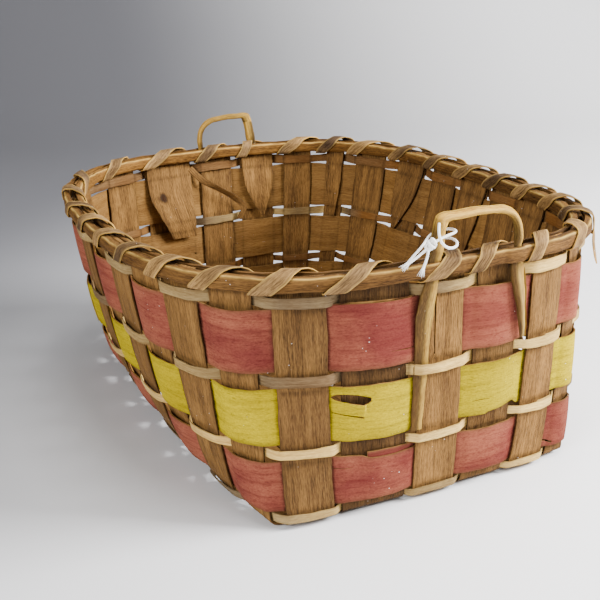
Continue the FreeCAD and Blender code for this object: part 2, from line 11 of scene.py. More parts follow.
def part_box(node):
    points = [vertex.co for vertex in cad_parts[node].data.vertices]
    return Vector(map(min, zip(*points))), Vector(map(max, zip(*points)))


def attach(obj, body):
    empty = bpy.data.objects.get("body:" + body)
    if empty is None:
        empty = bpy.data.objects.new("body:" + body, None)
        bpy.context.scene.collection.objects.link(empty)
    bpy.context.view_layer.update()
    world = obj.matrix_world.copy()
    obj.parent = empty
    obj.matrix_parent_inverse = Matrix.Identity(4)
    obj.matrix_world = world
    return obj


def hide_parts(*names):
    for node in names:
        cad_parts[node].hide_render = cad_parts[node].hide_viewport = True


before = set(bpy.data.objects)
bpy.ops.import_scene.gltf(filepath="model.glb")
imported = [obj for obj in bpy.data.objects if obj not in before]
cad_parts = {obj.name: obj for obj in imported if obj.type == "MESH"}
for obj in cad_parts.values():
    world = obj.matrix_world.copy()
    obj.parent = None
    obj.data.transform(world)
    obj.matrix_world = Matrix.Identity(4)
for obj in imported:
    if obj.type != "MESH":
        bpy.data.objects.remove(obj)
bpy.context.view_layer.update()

# ---------------------------------------------------------------- the uprights
# Fourteen strips of brown ash, split along the year rings and scraped.  Six run the length of the floor and
# eight cross them; all are bent up at the floor's edge to be the wall's uprights, and every other end is
# folded down inside over the rim's height and trimmed to a point.
MM = 0.001
rim_low, rim_high = (corner[2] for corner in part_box("hoop_outer"))
HALF_LENGTH, HALF_WIDTH = 187 * MM, 105 * MM  # floor
MOUTH_X, MOUTH_Y = 198.7 * MM, 155 * MM  # wall's middle surface under the hoops
# How square each corner of the mouth is, by the signs of its X and Y; 2 would be an ellipse.
SQUARE = {(1, -1): 2.77, (1, 1): 3.95, (-1, 1): 2.91, (-1, -1): 2.85}
FLARE = 0.414  # how soon the walls lean out on their way up
UPRIGHT_THICK = 1.2 * MM
LONG_WIDTHS = np.array((31, 43, 30, 31, 26, 17)) * MM
CROSS_WIDTHS = np.array((28, 30, 33, 34, 34, 34, 34, 34)) * MM
LONG_Y = np.array((-81, -39.4, 1.7, 36.8, 69.9, 96)) * MM
CROSS_X = np.array((167.7, 124.7, 79.2, 31.7, -16.3, -64.3, -112.3, -160.3)) * MM

turn = np.linspace(0, 2 * np.pi, 5761)
square = np.choose(
    (np.cos(turn) < 0) * 2 + (np.sin(turn) < 0),
    (SQUARE[1, 1], SQUARE[1, -1], SQUARE[-1, 1], SQUARE[-1, -1]),
)
reach = (np.abs(np.cos(turn)) / MOUTH_X) ** square + (np.abs(np.sin(turn)) / MOUTH_Y) ** square
reach = reach ** (-1 / square)
mouth_line = np.column_stack((np.cos(turn) * reach, np.sin(turn) * reach))
mouth_way = np.concatenate(([0.0], np.cumsum(np.linalg.norm(np.diff(mouth_line, axis=0), axis=1))))
ROUND = mouth_way[-1]


def past_round(way, place):
    """How far places are past one of them, the short way round the mouth."""
    return np.mod(way - place + ROUND / 2, ROUND) - ROUND / 2


def mouth(way):
    """Points of the mouth's outline at these distances round it, anticlockwise from +X."""
    way = np.mod(way, ROUND)
    return np.stack([np.interp(way, mouth_way, mouth_line[:, axis]) for axis in (0, 1)], axis=-1)


def unit(vectors):
    return vectors / np.linalg.norm(vectors, axis=-1, keepdims=True)


def mouth_normal(way):
    """The level direction outwards at these distances round the mouth."""
    along = mouth(way + 2 * MM) - mouth(way - 2 * MM)
    return unit(np.stack((along[..., 1], -along[..., 0]), axis=-1))


# An upright's place on a wall: its foot, the wall's facing, its way round the mouth, half its width, whether
# it passes outside the wide rows and inside the narrow ones, and the wall's name.
Stop = namedtuple("Stop", "foot facing way half front side")
SIDE_FACING = {"front": (1, 0), "right": (0, 1), "back": (-1, 0), "left": (0, -1)}


def way_at(side, along):
    """How far round the mouth a coordinate lies: Y on the front and back, X on the long sides."""
    facing = SIDE_FACING[side]
    own = np.flatnonzero(mouth_line @ np.array(facing) > 0)
    axis = 1 if facing[0] else 0
    return mouth_way[own[np.argmin(np.abs(mouth_line[own, axis] - along))]]


def long_stop(n, side):
    """Where a long upright stands at an end wall; the uprights spread apart from the floor to the mouth."""
    y = LONG_Y[n]
    if side == "front":
        at_mouth = y * (1.04 if y < 0 else 1.17)
    else:
        at_mouth = y * 1.15 + 5 * MM
    foot = (HALF_LENGTH if side == "front" else -HALF_LENGTH, y)
    in_front = n % 2 == (0 if side == "front" else 1)
    return Stop(foot, SIDE_FACING[side], way_at(side, at_mouth), LONG_WIDTHS[n] / 2, in_front, side)


def cross_stop(n, side):
    """Where a cross upright stands at a long wall; their spacing at the mouth grows towards the back."""
    first, pitch, growth = (160, 32, 3.5) if side == "left" else (152, 31, 3.2)
    at_mouth = (first - pitch * n - growth * n * (n - 1) / 2) * MM
    foot = (CROSS_X[n], -HALF_WIDTH if side == "left" else HALF_WIDTH)
    in_front = n % 2 == (0 if side == "right" else 1)
    return Stop(foot, SIDE_FACING[side], way_at(side, at_mouth), CROSS_WIDTHS[n] / 2, in_front, side)


stops = [long_stop(n, "front") for n in range(6)] + [cross_stop(n, "right") for n in range(8)]
stops += [long_stop(n, "back") for n in reversed(range(6))]
stops += [cross_stop(n, "left") for n in reversed(range(8))]

CORNER_CUT = 3 * MM  # the floor's corners are rounded off
knots = []  # way, foot x and y, facing x and y
for this, after in zip(stops, stops[1:] + stops[:1]):
    along = np.array((-this.facing[1], this.facing[0]))
    for across in (-this.half, this.half):
        knots.append((this.way + across, *(np.array(this.foot) + along * across), *this.facing))
    if after.side != this.side:
        edge = (this.way + this.half) + ((after.way - after.half - this.way - this.half) % ROUND) / 2
        ends = (this, after) if this.side in ("front", "back") else (after, this)
        corner = (ends[0].foot[0], ends[1].foot[1])
        corner = [c - math.copysign(CORNER_CUT, c) for c in corner]
        knots.append((edge, *corner, *unit(np.add(this.facing, after.facing))))
knots = np.array(knots)
knots[:, 0] = np.mod(knots[:, 0], ROUND)
knots = knots[np.argsort(knots[:, 0])]
before, beyond = knots[-3:].copy(), knots[:3].copy()
before[:, 0] -= ROUND
beyond[:, 0] += ROUND
knots = np.vstack((before, knots, beyond))


RIDDEN_UP, RIDDEN_REACH = 3.4 * MM, 42 * MM  # the weave's rise at the near wall's first upright


def wall(way, height, out=0.0):
    """Points of the wall: way round the mouth, height over the table, out from the middle surface."""
    way, height, out = np.broadcast_arrays(way, height, out)
    inside = np.mod(way, ROUND)
    foot = np.stack([np.interp(inside, knots[:, 0], knots[:, k]) for k in (1, 2)], axis=-1)
    facing = np.stack([np.interp(inside, knots[:, 0], knots[:, k]) for k in (3, 4)], axis=-1)
    lean = (np.clip(height / rim_low, 0, 1) ** FLARE)[..., None]
    outward = unit(facing * (1 - lean) + mouth_normal(way) * lean)
    flat = foot * (1 - lean) + mouth(way) * lean + outward * out[..., None]
    eased = RIDDEN_UP * np.exp(-((past_round(way, stops[0].way) / RIDDEN_REACH) ** 2))
    eased = eased * np.sin(np.pi * np.clip(height / rim_low, 0, 1)) ** 0.7
    return np.concatenate((flat, (height + eased)[..., None]), axis=-1)


def smooth_through(keys, spacing):
    """Points every spacing or so on smooth lines through the keys, which hold several lines side by side."""
    middle = keys[:, keys.shape[1] // 2]
    chord = np.linalg.norm(np.diff(middle, axis=0), axis=1)
    along = np.concatenate(([0.0], np.cumsum(chord)))
    slant = np.diff(keys, axis=0) / chord[:, None, None]
    share = (chord[1:] / (chord[1:] + chord[:-1]))[:, None, None]
    slope = np.concatenate((slant[:1], slant[:-1] * share + slant[1:] * (1 - share), slant[-1:]))
    at = np.linspace(0, along[-1], int(along[-1] / spacing) + 1)
    i = np.clip(np.searchsorted(along, at, side="right") - 1, 0, len(chord) - 1)
    step = chord[i][:, None, None]
    part = ((at - along[i]) / chord[i])[:, None, None]
    points = (
        keys[i] * (1 + 2 * part) * (1 - part) ** 2
        + slope[i] * step * part * (1 - part) ** 2
        + keys[i + 1] * part**2 * (3 - 2 * part)
        + slope[i + 1] * step * part**2 * (part - 1)
    )
    return points, at


def waver(at, seed, longest=0.12, shortest=0.012):
    """An uneven wave of height about 1 along a splint, as split wood has."""
    dice = random.Random(seed)
    total = np.zeros_like(at)
    for n in range(7):
        length = longest * (shortest / longest) ** (n / 6)
        total += math.sqrt(length / longest) * np.sin(2 * np.pi * at / length + dice.uniform(0, 6.3))
    return total / 1.9


def face_normals(grid):
    """The outward direction at each point of a grid laid along its rows and across its columns."""
    along = np.gradient(grid, axis=0)
    across = np.gradient(grid, axis=1)
    return unit(np.cross(along, across) + 1e-12)


def bend_splint(name, grid, at, across, marks, finishes, gone=None):
    """A flat grid on the bench, bent point by point to where the splint lies in the weave.
    at is the distance along it, across the distance from its middle line, marks are values to keep, finishes
    its materials, and gone says which of its cells are torn out."""
    rows, columns = grid.shape[0] - 1, grid.shape[1] - 1
    bpy.ops.object.select_all(action="DESELECT")
    bpy.ops.mesh.primitive_grid_add(x_subdivisions=rows, y_subdivisions=columns, size=1, location=(0, 0, 0))
    splint = bpy.context.object
    splint.name = splint.data.name = name
    mesh = splint.data
    flat = np.empty(len(mesh.vertices) * 3)
    mesh.vertices.foreach_get("co", flat)
    flat = flat.reshape(-1, 3)
    row = np.rint((flat[:, 0] + 0.5) * rows).astype(int)
    column = np.rint((flat[:, 1] + 0.5) * columns).astype(int)
    mesh.vertices.foreach_set("co", grid[row, column].ravel())
    corner = np.empty(len(mesh.loops), dtype=np.int32)
    mesh.loops.foreach_get("vertex_index", corner)
    shift = random.Random(name).uniform(0, 50)
    across = np.broadcast_to(across, grid.shape[:2])
    spread = np.column_stack((at[row] + shift, across[row, column] + shift))[corner]
    mesh.uv_layers[0].data.foreach_set("uv", spread.ravel().astype(np.float32))
    for mark, values in marks.items():
        values = np.broadcast_to(values, grid.shape[:2])[row, column].astype(np.float32)
        mesh.attributes.new(mark, "FLOAT", "POINT").data.foreach_set("value", values)
    for finish in finishes:
        mesh.materials.append(finish)
    if gone is not None and gone.any():
        cells = corner.reshape(-1, 4)
        torn = gone[row[cells].min(axis=1), column[cells].min(axis=1)]
        sheet = bmesh.new()
        sheet.from_mesh(mesh)
        sheet.faces.ensure_lookup_table()
        bmesh.ops.delete(sheet, geom=[sheet.faces[n] for n in np.flatnonzero(torn)], context="FACES")
        sheet.to_mesh(mesh)
        sheet.free()
    return splint


def give_thickness(splint, thick, rounding, inside=0):
    """The splint's thickness and its worn edges, as applied modifiers."""
    bpy.context.view_layer.objects.active = splint
    bpy.ops.object.modifier_add(type="SOLIDIFY")
    solidify = splint.modifiers[-1]
    solidify.thickness = thick
    solidify.offset = 0
    solidify.material_offset = inside
    solidify.material_offset_rim = 1
    bpy.ops.object.modifier_apply(modifier=solidify.name)
    bpy.ops.object.modifier_add(type="BEVEL")
    bevel = splint.modifiers[-1]
    bevel.width = rounding
    bevel.segments = 2
    bevel.limit_method = "ANGLE"
    bevel.angle_limit = math.radians(50)
    bpy.ops.object.modifier_apply(modifier=bevel.name)
    bpy.ops.object.shade_smooth_by_angle(angle=math.radians(24))


def nodes_of(tree):
    """A function that adds a node to this tree, sets what it is given, and links what comes from a node."""
    def add(kind, inputs=None, **settings):
        node = tree.nodes.new(kind)
        for key, value in settings.items():
            setattr(node, key, value)
        for key, value in (inputs or {}).items():
            if isinstance(value, bpy.types.NodeSocket):
                tree.links.new(value, node.inputs[key])
            else:
                node.inputs[key].default_value = value
        return node
    return add


def new_group(name, outputs, **inputs):
    """An empty shader node group.  Its inputs start at a place (None), a colour or a number; its outputs are
    listed with their kinds.  Returns the group, what comes in by name, and its output node."""
    kinds = {type(None): "NodeSocketVector", tuple: "NodeSocketColor", float: "NodeSocketFloat"}
    tree = bpy.data.node_groups.new(name, "ShaderNodeTree")
    for label, value in inputs.items():
        socket = tree.interface.new_socket(label, in_out="INPUT", socket_type=kinds[type(value)])
        if value is not None:
            socket.default_value = value
    for label, kind in outputs.items():
        tree.interface.new_socket(label, in_out="OUTPUT", socket_type=kind)
    return tree, tree.nodes.new("NodeGroupInput").outputs, tree.nodes.new("NodeGroupOutput")


def ramp(add, value, low, high, least=0.0, most=1.0):
    """A value eased from least, where it is low, to most, where it is high."""
    limits = {"Value": value, "From Min": low, "From Max": high, "To Min": least, "To Max": most}
    return add("ShaderNodeMapRange", limits, interpolation_type="SMOOTHSTEP").outputs["Result"]


def mix(add, factor, first, second, how="MIX"):
    node = add("ShaderNodeMix", data_type="RGBA", blend_type=how)
    for socket, value in ((0, factor), (6, first), (7, second)):
        if isinstance(value, bpy.types.NodeSocket):
            node.id_data.links.new(value, node.inputs[socket])
        else:
            node.inputs[socket].default_value = value
    return node.outputs[2]


def maths(add, operation, *values):
    node = add("ShaderNodeMath", operation=operation)
    for socket, value in enumerate(values):
        if isinstance(value, bpy.types.NodeSocket):
            node.id_data.links.new(value, node.inputs[socket])
        else:
            node.inputs[socket].default_value = value
    return node.outputs[0]


def times(add, *values):
    return maths(add, "MULTIPLY", *values)


def clamped(add, value):
    return add("ShaderNodeClamp", {"Value": value}).outputs[0]


def mark(add, name):
    """One of the values that the splint's mesh keeps."""
    return add("ShaderNodeAttribute", attribute_name=name).outputs["Fac"]


def streaks(add, place, along, across, detail, seed, low, high, least=0.0):
    """Noise drawn out along the splint: along and across are its wave counts per metre."""
    settings = {"Vector": place, "Location": (seed, seed, 0), "Scale": (along, across, 1)}
    stretched = add("ShaderNodeMapping", settings).outputs[0]
    settings = {"Vector": stretched, "Scale": 1.0, "Detail": detail, "Roughness": 0.6}
    return ramp(add, add("ShaderNodeTexNoise", settings).outputs["Fac"], low, high, least)


# Ash grain: wide pale and dark bands, fine fibres, short open pores and blotches of age.  The "tone" mark
# turns a place grey and darker up to 1, brown up to 2, and paler below 0.
grain, given, result = new_group(
    "ash_grain", {"Color": "NodeSocketColor", "Height": "NodeSocketFloat", "Roughness": "NodeSocketFloat"},
    Place=None, Light=(0.5, 0.35, 0.2, 1), Dark=(0.2, 0.1, 0.05, 1), Coarse=1.0)
add = nodes_of(grain)
place = given["Place"]
bands = streaks(add, place, 8, 130, 3.0, 0.0, 0.36, 0.64)
fibres = streaks(add, place, 55, 900, 3.0, 3.1, 0.36, 0.64)
hairs = streaks(add, place, 260, 1500, 2.0, 6.1, 0.34, 0.66)
pores = streaks(add, place, 75, 1000, 2.0, 7.7, 0.54, 0.70)
blotch = streaks(add, place, 24, 60, 4.0, 1.3, 0.36, 0.64)
tone = maths(add, "ADD", times(add, bands, 0.34), times(add, fibres, 0.32))
tone = maths(add, "ADD", tone, times(add, hairs, 0.34))
wood = mix(add, tone, given["Dark"], given["Light"])
wood = mix(add, times(add, blotch, 0.5), wood, mix(add, 0.7, wood, given["Dark"]))
pore_mask = times(add, pores, times(add, given["Coarse"], 0.45))
wood = mix(add, pore_mask, wood, mix(add, 0.4, (0.006, 0.003, 0.0015, 1), given["Dark"]))
marked = mark(add, "tone")
greyed = mix(add, 1.0, wood, (0.22, 0.225, 0.37, 1), "MULTIPLY")
browned = mix(add, 1.0, wood, (0.27, 0.165, 0.10, 1), "MULTIPLY")
greyed = mix(add, clamped(add, maths(add, "SUBTRACT", marked, 1.0)), greyed, browned)
wood = mix(add, clamped(add, marked), wood, greyed)
paler = mix(add, 1.0, wood, (1.7, 1.62, 1.2, 1), "MULTIPLY")
wood = mix(add, clamped(add, times(add, marked, -1.0)), wood, paler)
relief = maths(add, "ADD", times(add, fibres, 0.5), times(add, hairs, 0.4))
relief = maths(add, "SUBTRACT", relief, pores)
dull = maths(add, "ADD", 0.62, times(add, fibres, 0.2))
for label, socket in (("Color", wood), ("Height", relief), ("Roughness", dull)):
    grain.links.new(socket, result.inputs[label])

# Age and painted light: darkening in the crossings and along the edges, which is dirt and painted shade;
# rubbed high spots lightened to gold, which is wear on some pieces and a painted highlight on hoop shoulders
# and handle ridges; and specks of dust.
age, given, result = new_group(
    "age_and_dust", {"Color": "NodeSocketColor", "Mask": "NodeSocketFloat"},
    Place=None, Color=(0.5, 0.5, 0.5, 1), Dirt=1.0, Dust=1.0)
add = nodes_of(age)
place = given["Place"]
# The darkening in the crossings and along the edges is dirt and painted shade, in a near-black dirt colour.
crossing = mark(add, "crossing")
rim_edge = mark(add, "edge")
uneven = streaks(add, place, 90, 220, 3.0, 5.5, 0.3, 0.7, 0.35)
edge_dirt_and_shade = times(add, maths(add, "POWER", rim_edge, 9.0), 0.55)
dirt = times(add, maths(add, "MAXIMUM", crossing, edge_dirt_and_shade), uneven)
dirt = times(add, dirt, given["Dirt"])
# The rubbed mark lightens to gold: a painted highlight on hoop shoulders and handle ridges, and worn, highlit
# lashing edges.
rubbed = times(add, mark(add, "rubbed"), uneven)
aged_with_painted_light = mix(add, times(add, rubbed, 0.6), given["Color"], (0.82, 0.52, 0.13, 1))
aged_with_painted_light = mix(add, dirt, aged_with_painted_light, (0.012, 0.006, 0.003, 1))
dots = add("ShaderNodeTexVoronoi", {"Vector": place, "Scale": 210.0, "Randomness": 1.0}, feature="F1")
few = streaks(add, place, 35, 35, 1.0, 9.1, 0.56, 0.66)
speck = times(add, maths(add, "LESS_THAN", dots.outputs["Distance"], 0.075), few)
speck = times(add, speck, given["Dust"])
aged_with_painted_light = mix(add, speck, aged_with_painted_light, (0.78, 0.74, 0.68, 1))
age.links.new(aged_with_painted_light, result.inputs["Color"])
age.links.new(dirt, result.inputs["Mask"])


def new_finish(name):
    """A new material with its node tree, its shader, and the function that adds nodes to it."""
    material = bpy.data.materials.new(name)
    material.use_nodes = True
    tree = material.node_tree
    return material, tree, tree.nodes["Principled BSDF"], nodes_of(tree)


def bare_wood(name, light, dark, dirt=0.7, dust=0.5, coarse=1.0, bump=0.45, gloss=0.0):
    """A finish of bare splint: grain, age with painted shade and painted highlights, and relief."""
    material, tree, shader, add = new_finish(name)
    place = add("ShaderNodeUVMap").outputs["UV"]
    grained = add("ShaderNodeGroup", node_tree=grain)
    for label, value in (("Light", (*light, 1)), ("Dark", (*dark, 1)), ("Coarse", coarse)):
        grained.inputs[label].default_value = value
    tree.links.new(place, grained.inputs["Place"])
    # This node adds dirt and dust, and also painted shade in crossings and along edges and painted highlights
    # on rubbed places.
    worn = add("ShaderNodeGroup", node_tree=age)
    worn.inputs["Dirt"].default_value = dirt
    worn.inputs["Dust"].default_value = dust
    tree.links.new(place, worn.inputs["Place"])
    tree.links.new(grained.outputs["Color"], worn.inputs["Color"])
    tree.links.new(worn.outputs["Color"], shader.inputs["Base Color"])
    roughness = maths(add, "SUBTRACT", grained.outputs["Roughness"], gloss)
    tree.links.new(roughness, shader.inputs["Roughness"])
    relief = grained.outputs["Height"]
    bumped = add("ShaderNodeBump", {"Height": relief, "Strength": bump, "Distance": 0.35 * MM})
    tree.links.new(bumped.outputs["Normal"], shader.inputs["Normal"])
    shader.inputs["Specular IOR Level"].default_value = 0.06
    return material


upright_wood = bare_wood("upright_wood", (0.32, 0.163, 0.045), (0.060, 0.028, 0.010), bump=0.7)
# Dark brown for the uprights' cut edges: a painted shadow along their sides.
dark_edge = bare_wood("dark_edge", (0.15, 0.075, 0.02), (0.04, 0.018, 0.005), dirt=0.9, dust=0.1, coarse=0.4,
                      bump=0.3)
row_names = ("weaver_narrow_base", "weaver_red_low", "weaver_narrow_low", "weaver_yellow",
             "weaver_narrow_middle", "weaver_red_high", "weaver_narrow_top")
row_low = [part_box(name)[0][2] for name in row_names]  # the weavers' rows, which the uprights cross
row_high = [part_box(name)[1][2] for name in row_names]
row_middle = [(low + high) / 2 for low, high in zip(row_low, row_high)]
FROM_MIDDLE = 0.7 * MM  # uprights' and wide weavers' distance out
# The broad folded end at the back, and the other folded ends: share of the way down, millimetres out, and
# where the right edge is, or how much of the width is left.
BROAD_FOLD = ((0.25, 4, 1.0), (0.45, 6, 0.94), (0.62, 8, 0.7), (0.8, 9, 0.42), (1, 8, 0.12))
FOLD = ((0.25, 3.4, 0.97), (0.5, 4.6, 0.84), (0.75, 4.6, 0.52), (0.93, 3.6, 0.22), (1, 3.2, 0.1))


def climb(stop, dice):
    """The upright's keys from the floor's edge up the wall: height, out, and where its two edges are."""
    sign = 1 if stop.front else -1
    keys = [(4 * MM, sign * FROM_MIDDLE, -1, 1), (9.5 * MM, sign * FROM_MIDDLE, -1, 1)]
    for row in range(1, 7):
        wide = row % 2 == 1
        keys.append((row_middle[row], sign * FROM_MIDDLE * (1.25 if wide else 0.9), -1, 1))
    keys.append((rim_low + 1 * MM, sign * FROM_MIDDLE, -1, 1))
    if not stop.front:
        return keys + [(rim_high - dice.uniform(0.5, 2.5) * MM, sign * FROM_MIDDLE, -1, 1)]
    top = rim_high - 1.2 * MM
    keys += [(top - 1.6 * MM, 0.7 * MM, -1, 1), (top, -0.2 * MM, -1, 1), (top, -1.2 * MM, -1, 1),
             (top - 1.6 * MM, -2.1 * MM, -1, 1), (rim_low, -2.2 * MM, -1, 1)]
    tip = dice.choice((-0.7, -0.3, 0.2, 0.6))
    end = dice.uniform(86, 93) * MM
    if stop.side == "back" and stop.half > 21 * MM:
        for share, out, right in BROAD_FOLD:
            keys.append((rim_low - (rim_low - 82 * MM) * share, -out * MM, -1, right))
        return keys
    for share, out, width in FOLD:
        height = rim_low + (end - rim_low) * share
        middle = tip * (1 - width)
        keys.append((height, -out * MM, middle - width, middle + width))
    return keys


FLOOR_LOW = UPRIGHT_THICK / 2
FLOOR_HIGH = 2.1 * MM


def floor_keys(is_long, n):
    """The upright's three lines across the floor, over and under the strips that cross it."""
    half = (LONG_WIDTHS if is_long else CROSS_WIDTHS)[n] / 2
    own = (LONG_Y if is_long else CROSS_X)[n]
    crossed = list(zip(CROSS_X, CROSS_WIDTHS) if is_long else zip(LONG_Y, LONG_WIDTHS))
    crossed = list(enumerate(crossed))[::1 if is_long else -1]
    keys = []
    for other, (middle, width) in crossed:
        low = ((n + other) % 2 == 0) == is_long
        level = FLOOR_LOW if low else FLOOR_HIGH
        for run in (middle + width * 0.32, middle - width * 0.32):
            if is_long:
                keys.append([(run, own + side * half, level) for side in (-1, 0, 1)])
            else:
                keys.append([(own - side * half, run, level) for side in (-1, 0, 1)])
    return keys


def edge_lines(stop, climbing):
    """The upright's left, middle and right lines up the wall."""
    lines = []
    for height, out, left, right in climbing:
        ways = stop.way + stop.half * np.array((left, (left + right) / 2, right))
        lines.append(wall(ways, height, out))
    return lines


COLUMNS = 10  # cells across an upright
LIFT = 1.2 * MM  # of a split's lips
# One upright has split: from and to which height, where across, and how wide the crack is.
SPLITS = {"long_upright_3": (97 * MM, 139 * MM, -0.32, 1.1 * MM)}
# How weathered the near wall's uprights are, and how shaded: the two that lie behind the wide rows and the
# leftmost one are darker, which is painted shade; the others are chance.
UPRIGHT_SHADE_AND_TONES = {
    "long_upright_1": 0.36,
    "long_upright_2": 0.7,
    "long_upright_3": -0.02,
    "long_upright_4": 0.35,
    "long_upright_5": -0.1,
}
for kind, count in (("long", 6), ("cross", 8)):
    for n in range(count):
        name = f"{kind}_upright_{n + 1}"
        dice = random.Random(name)
        is_long = kind == "long"
        first = long_stop(n, "front") if is_long else cross_stop(n, "right")
        last = long_stop(n, "back") if is_long else cross_stop(n, "left")
        down = edge_lines(first, climb(first, dice))[::-1]
        up = [line[::-1] for line in edge_lines(last, climb(last, dice))]
        keys = np.array(down + floor_keys(is_long, n) + up)
        lines, at = smooth_through(keys, 1.6 * MM)
        v = np.linspace(-1, 1, COLUMNS + 1)[None, :, None]
        grid = lines[:, :1] * (v * v - v) / 2 + lines[:, 1:2] * (1 - v * v) + lines[:, 2:] * (v * v + v) / 2
        half = np.linalg.norm(lines[:, 2] - lines[:, 0], axis=1)[:, None] / 2
        v = v[0, :, 0][None]
        ragged = np.where(v < 0, waver(at, name + "left")[:, None], waver(at, name + "right")[:, None])
        sideways = unit(np.gradient(grid, axis=1))
        grid += sideways * (0.35 * MM * ragged * v**3)[..., None]
        normals = face_normals(grid)
        swell = 0.22 * MM * waver(at, name + "swell", 0.09, 0.02)[:, None] * (1 - v * v)
        grid += normals * swell[..., None]
        grid[..., 2] = np.maximum(grid[..., 2], UPRIGHT_THICK / 2)
        height = grid[..., 2]
        on_wall = height > 3 * MM
        # Painted shade: darker just under the hoops, beside each row's edges, and along the edges of the
        # uprights that lie behind the wide rows.
        crossing = 0.8 * np.clip(1 - np.abs(height - rim_low + 1 * MM) / (3.5 * MM), 0, 1)  # under the hoops
        for low, high in zip(row_low, row_high):
            near = np.minimum(np.abs(height - low), np.abs(height - high))
            crossing = np.maximum(crossing, 0.75 * np.clip(1 - near / (2.0 * MM), 0, 1) * on_wall)
        recessed = (grid[:, :1, 0] > 0 if is_long else grid[:, :1, 1] > 0) != first.front
        crossing = np.maximum(crossing, 0.9 * np.abs(v) ** 9 * (recessed & on_wall))
        ends = UPRIGHT_SHADE_AND_TONES.get(name, dice.uniform(-0.1, 0.3)), dice.uniform(-0.1, 0.15)
        tone = np.interp(grid[..., 0 if is_long else 1], (0.0, 0.17 if is_long else 0.1), ends[::-1])
        if name == "long_upright_2":  # a knot in its far folded end
            folded = (grid[..., 0] < -0.1) & (np.gradient(height, axis=0) < 0)
            from_knot = np.hypot((height - 121 * MM) / (3.6 * MM), (half * v + 8.5 * MM) / (3.0 * MM))
            dark = folded * np.clip(1.6 - from_knot, 0, 1)
            crossing = np.maximum(crossing, dark)
            tone = np.maximum(tone, 1.6 * dark)
        gone = np.zeros((grid.shape[0] - 1, COLUMNS), bool)
        if name in SPLITS:
            low, high, share, breadth = SPLITS[name]
            centre = height[:, COLUMNS // 2]
            run = np.flatnonzero((grid[:, 0, 0] > 0.15) & (centre > low) & (centre < high))
            column = int((share + 1) / 2 * COLUMNS)
            for i in run:
                fade = np.sin(np.pi * (i - run[0]) / (run[-1] - run[0])) ** 0.5
                line = grid[i, 0] * (1 - share) / 2 + grid[i, -1] * (1 + share) / 2
                blend = min(1, 3 * fade)
                for lip, sign in ((column, -0.5), (column + 1, 0.5)):
                    aim = line + sideways[i, column] * breadth * sign * fade + normals[i, column] * 0.6 * LIFT
                    grid[i, lip] = grid[i, lip] * (1 - blend) + aim * blend
            gone[run[0] + 3:run[-1] - 2, column] = True
        marks = {"edge": np.abs(v), "crossing": crossing, "tone": tone}
        splint = bend_splint(name + "_splint", grid, at, half * v, marks, (upright_wood, dark_edge), gone)
        give_thickness(splint, UPRIGHT_THICK, 0.25 * MM)
        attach(splint, "root")
        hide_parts(name)

# ---------------------------------------------------------------- the weavers
# Seven rows of splint go round the walls.  Four are narrow and bare; three are wide and were swabbed with
# colour on the outside only, red, yellow and red.  Each row's two ends overlap behind an upright.
WEAVER_THICK = 1.0 * MM
NARROW_OUT = 2.1 * MM


def row_out(narrow, bulge):
    """A row's distance out all round, as a function of way: it arches over the uprights that it crosses."""
    ways, outs, arches = [], [], []
    for stop in stops:
        outside = stop.front if narrow else not stop.front
        out = (NARROW_OUT if narrow else FROM_MIDDLE) * (1 if outside else -1)
        hold = stop.half - 1.0 * MM
        ways += [stop.way - hold, stop.way + hold]
        outs += [out, out]
        arches.append((stop.way, stop.half + (4 if narrow else 3) * MM, bulge if outside else -0.4 * bulge))
    order = np.argsort(np.mod(ways, ROUND))
    ways, outs = np.mod(ways, ROUND)[order], np.array(outs)[order]
    ways = np.concatenate((ways[-2:] - ROUND, ways, ways[:2] + ROUND))
    outs = np.concatenate((outs[-2:], outs, outs[:2]))

    def out_at(way):
        inside = np.mod(way, ROUND)
        i = np.clip(np.searchsorted(ways, inside, side="right") - 1, 0, len(ways) - 2)
        part = (inside - ways[i]) / (ways[i + 1] - ways[i])
        out = outs[i] + (outs[i + 1] - outs[i]) * part * part * (3 - 2 * part)
        for middle, half, height in arches:
            arch = np.clip(1 - (past_round(inside, middle) / half) ** 2, 0, 1)
            out = out + height * arch**1.3
        return out

    return out_at


def crossing_marks(way, narrow):
    """How near each place of a row is to the edge of an upright that covers it."""
    marks = np.zeros_like(way)
    for stop in stops:
        if stop.front != narrow:
            from_edge = np.abs(np.abs(past_round(way, stop.way)) - stop.half)
            marks = np.maximum(marks, np.clip(1.25 - from_edge / (1.5 * MM), 0, 1))
    return marks


# Each row's tone at numbered uprights round the wall: 0 fresh and pale, 1 grey and weathered, 2 brown. On the
# right and back walls, which show their inside, the narrow rows are brown and darker, partly painted shade.
ROW_TONES = {
    "weaver_narrow_base": {0: 0.6, 2: 0.6, 4: 0.2, 8: 1.6, 20: 1.4, 27: 0.9},
    "weaver_narrow_low": {0: 0.0, 4: 0.05, 5: 0.6, 7: 1.8, 19: 1.7, 22: 0.3, 27: 0.1},
    "weaver_narrow_middle": {0: 1.2, 1: 0.9, 2: 0.0, 5: 0.0, 7: 1.7, 13: 1.7, 14: 0.4, 15: 0.9, 16: 0.3,
                             18: 1.6, 21: 1.3, 24: 0.6, 27: 0.8},
    "weaver_narrow_top": {0: 1.1, 2: 0.85, 3: 0.3, 4: -0.15, 5: 0.2, 7: 1.8, 19: 1.6, 21: 0.9, 25: 0.7},
    "weaver_red_low": {0: 0.2, 3: 0.1, 5: 0.3, 14: 0.0, 25: -0.2},
    "weaver_yellow": {0: 0.0, 14: 0.0},
    "weaver_red_high": {0: 0.25, 1: 0.0, 3: -0.25, 5: -0.1, 14: 0.0, 21: -0.2, 25: -0.25, 27: 0.1},
}


def row_tone(name, way):
    """A row's tone round the wall, between the uprights where it is known."""
    ways = [stops[n].way for n in ROW_TONES[name]]
    return np.interp(np.mod(way, ROUND), ways, list(ROW_TONES[name].values()), period=ROUND)


def along_front(way, y):
    """How far each place of a row is past a coordinate on the near wall."""
    return past_round(way, way_at("front", y))


EASE = 7 * MM  # how far past a slit the splint is disturbed


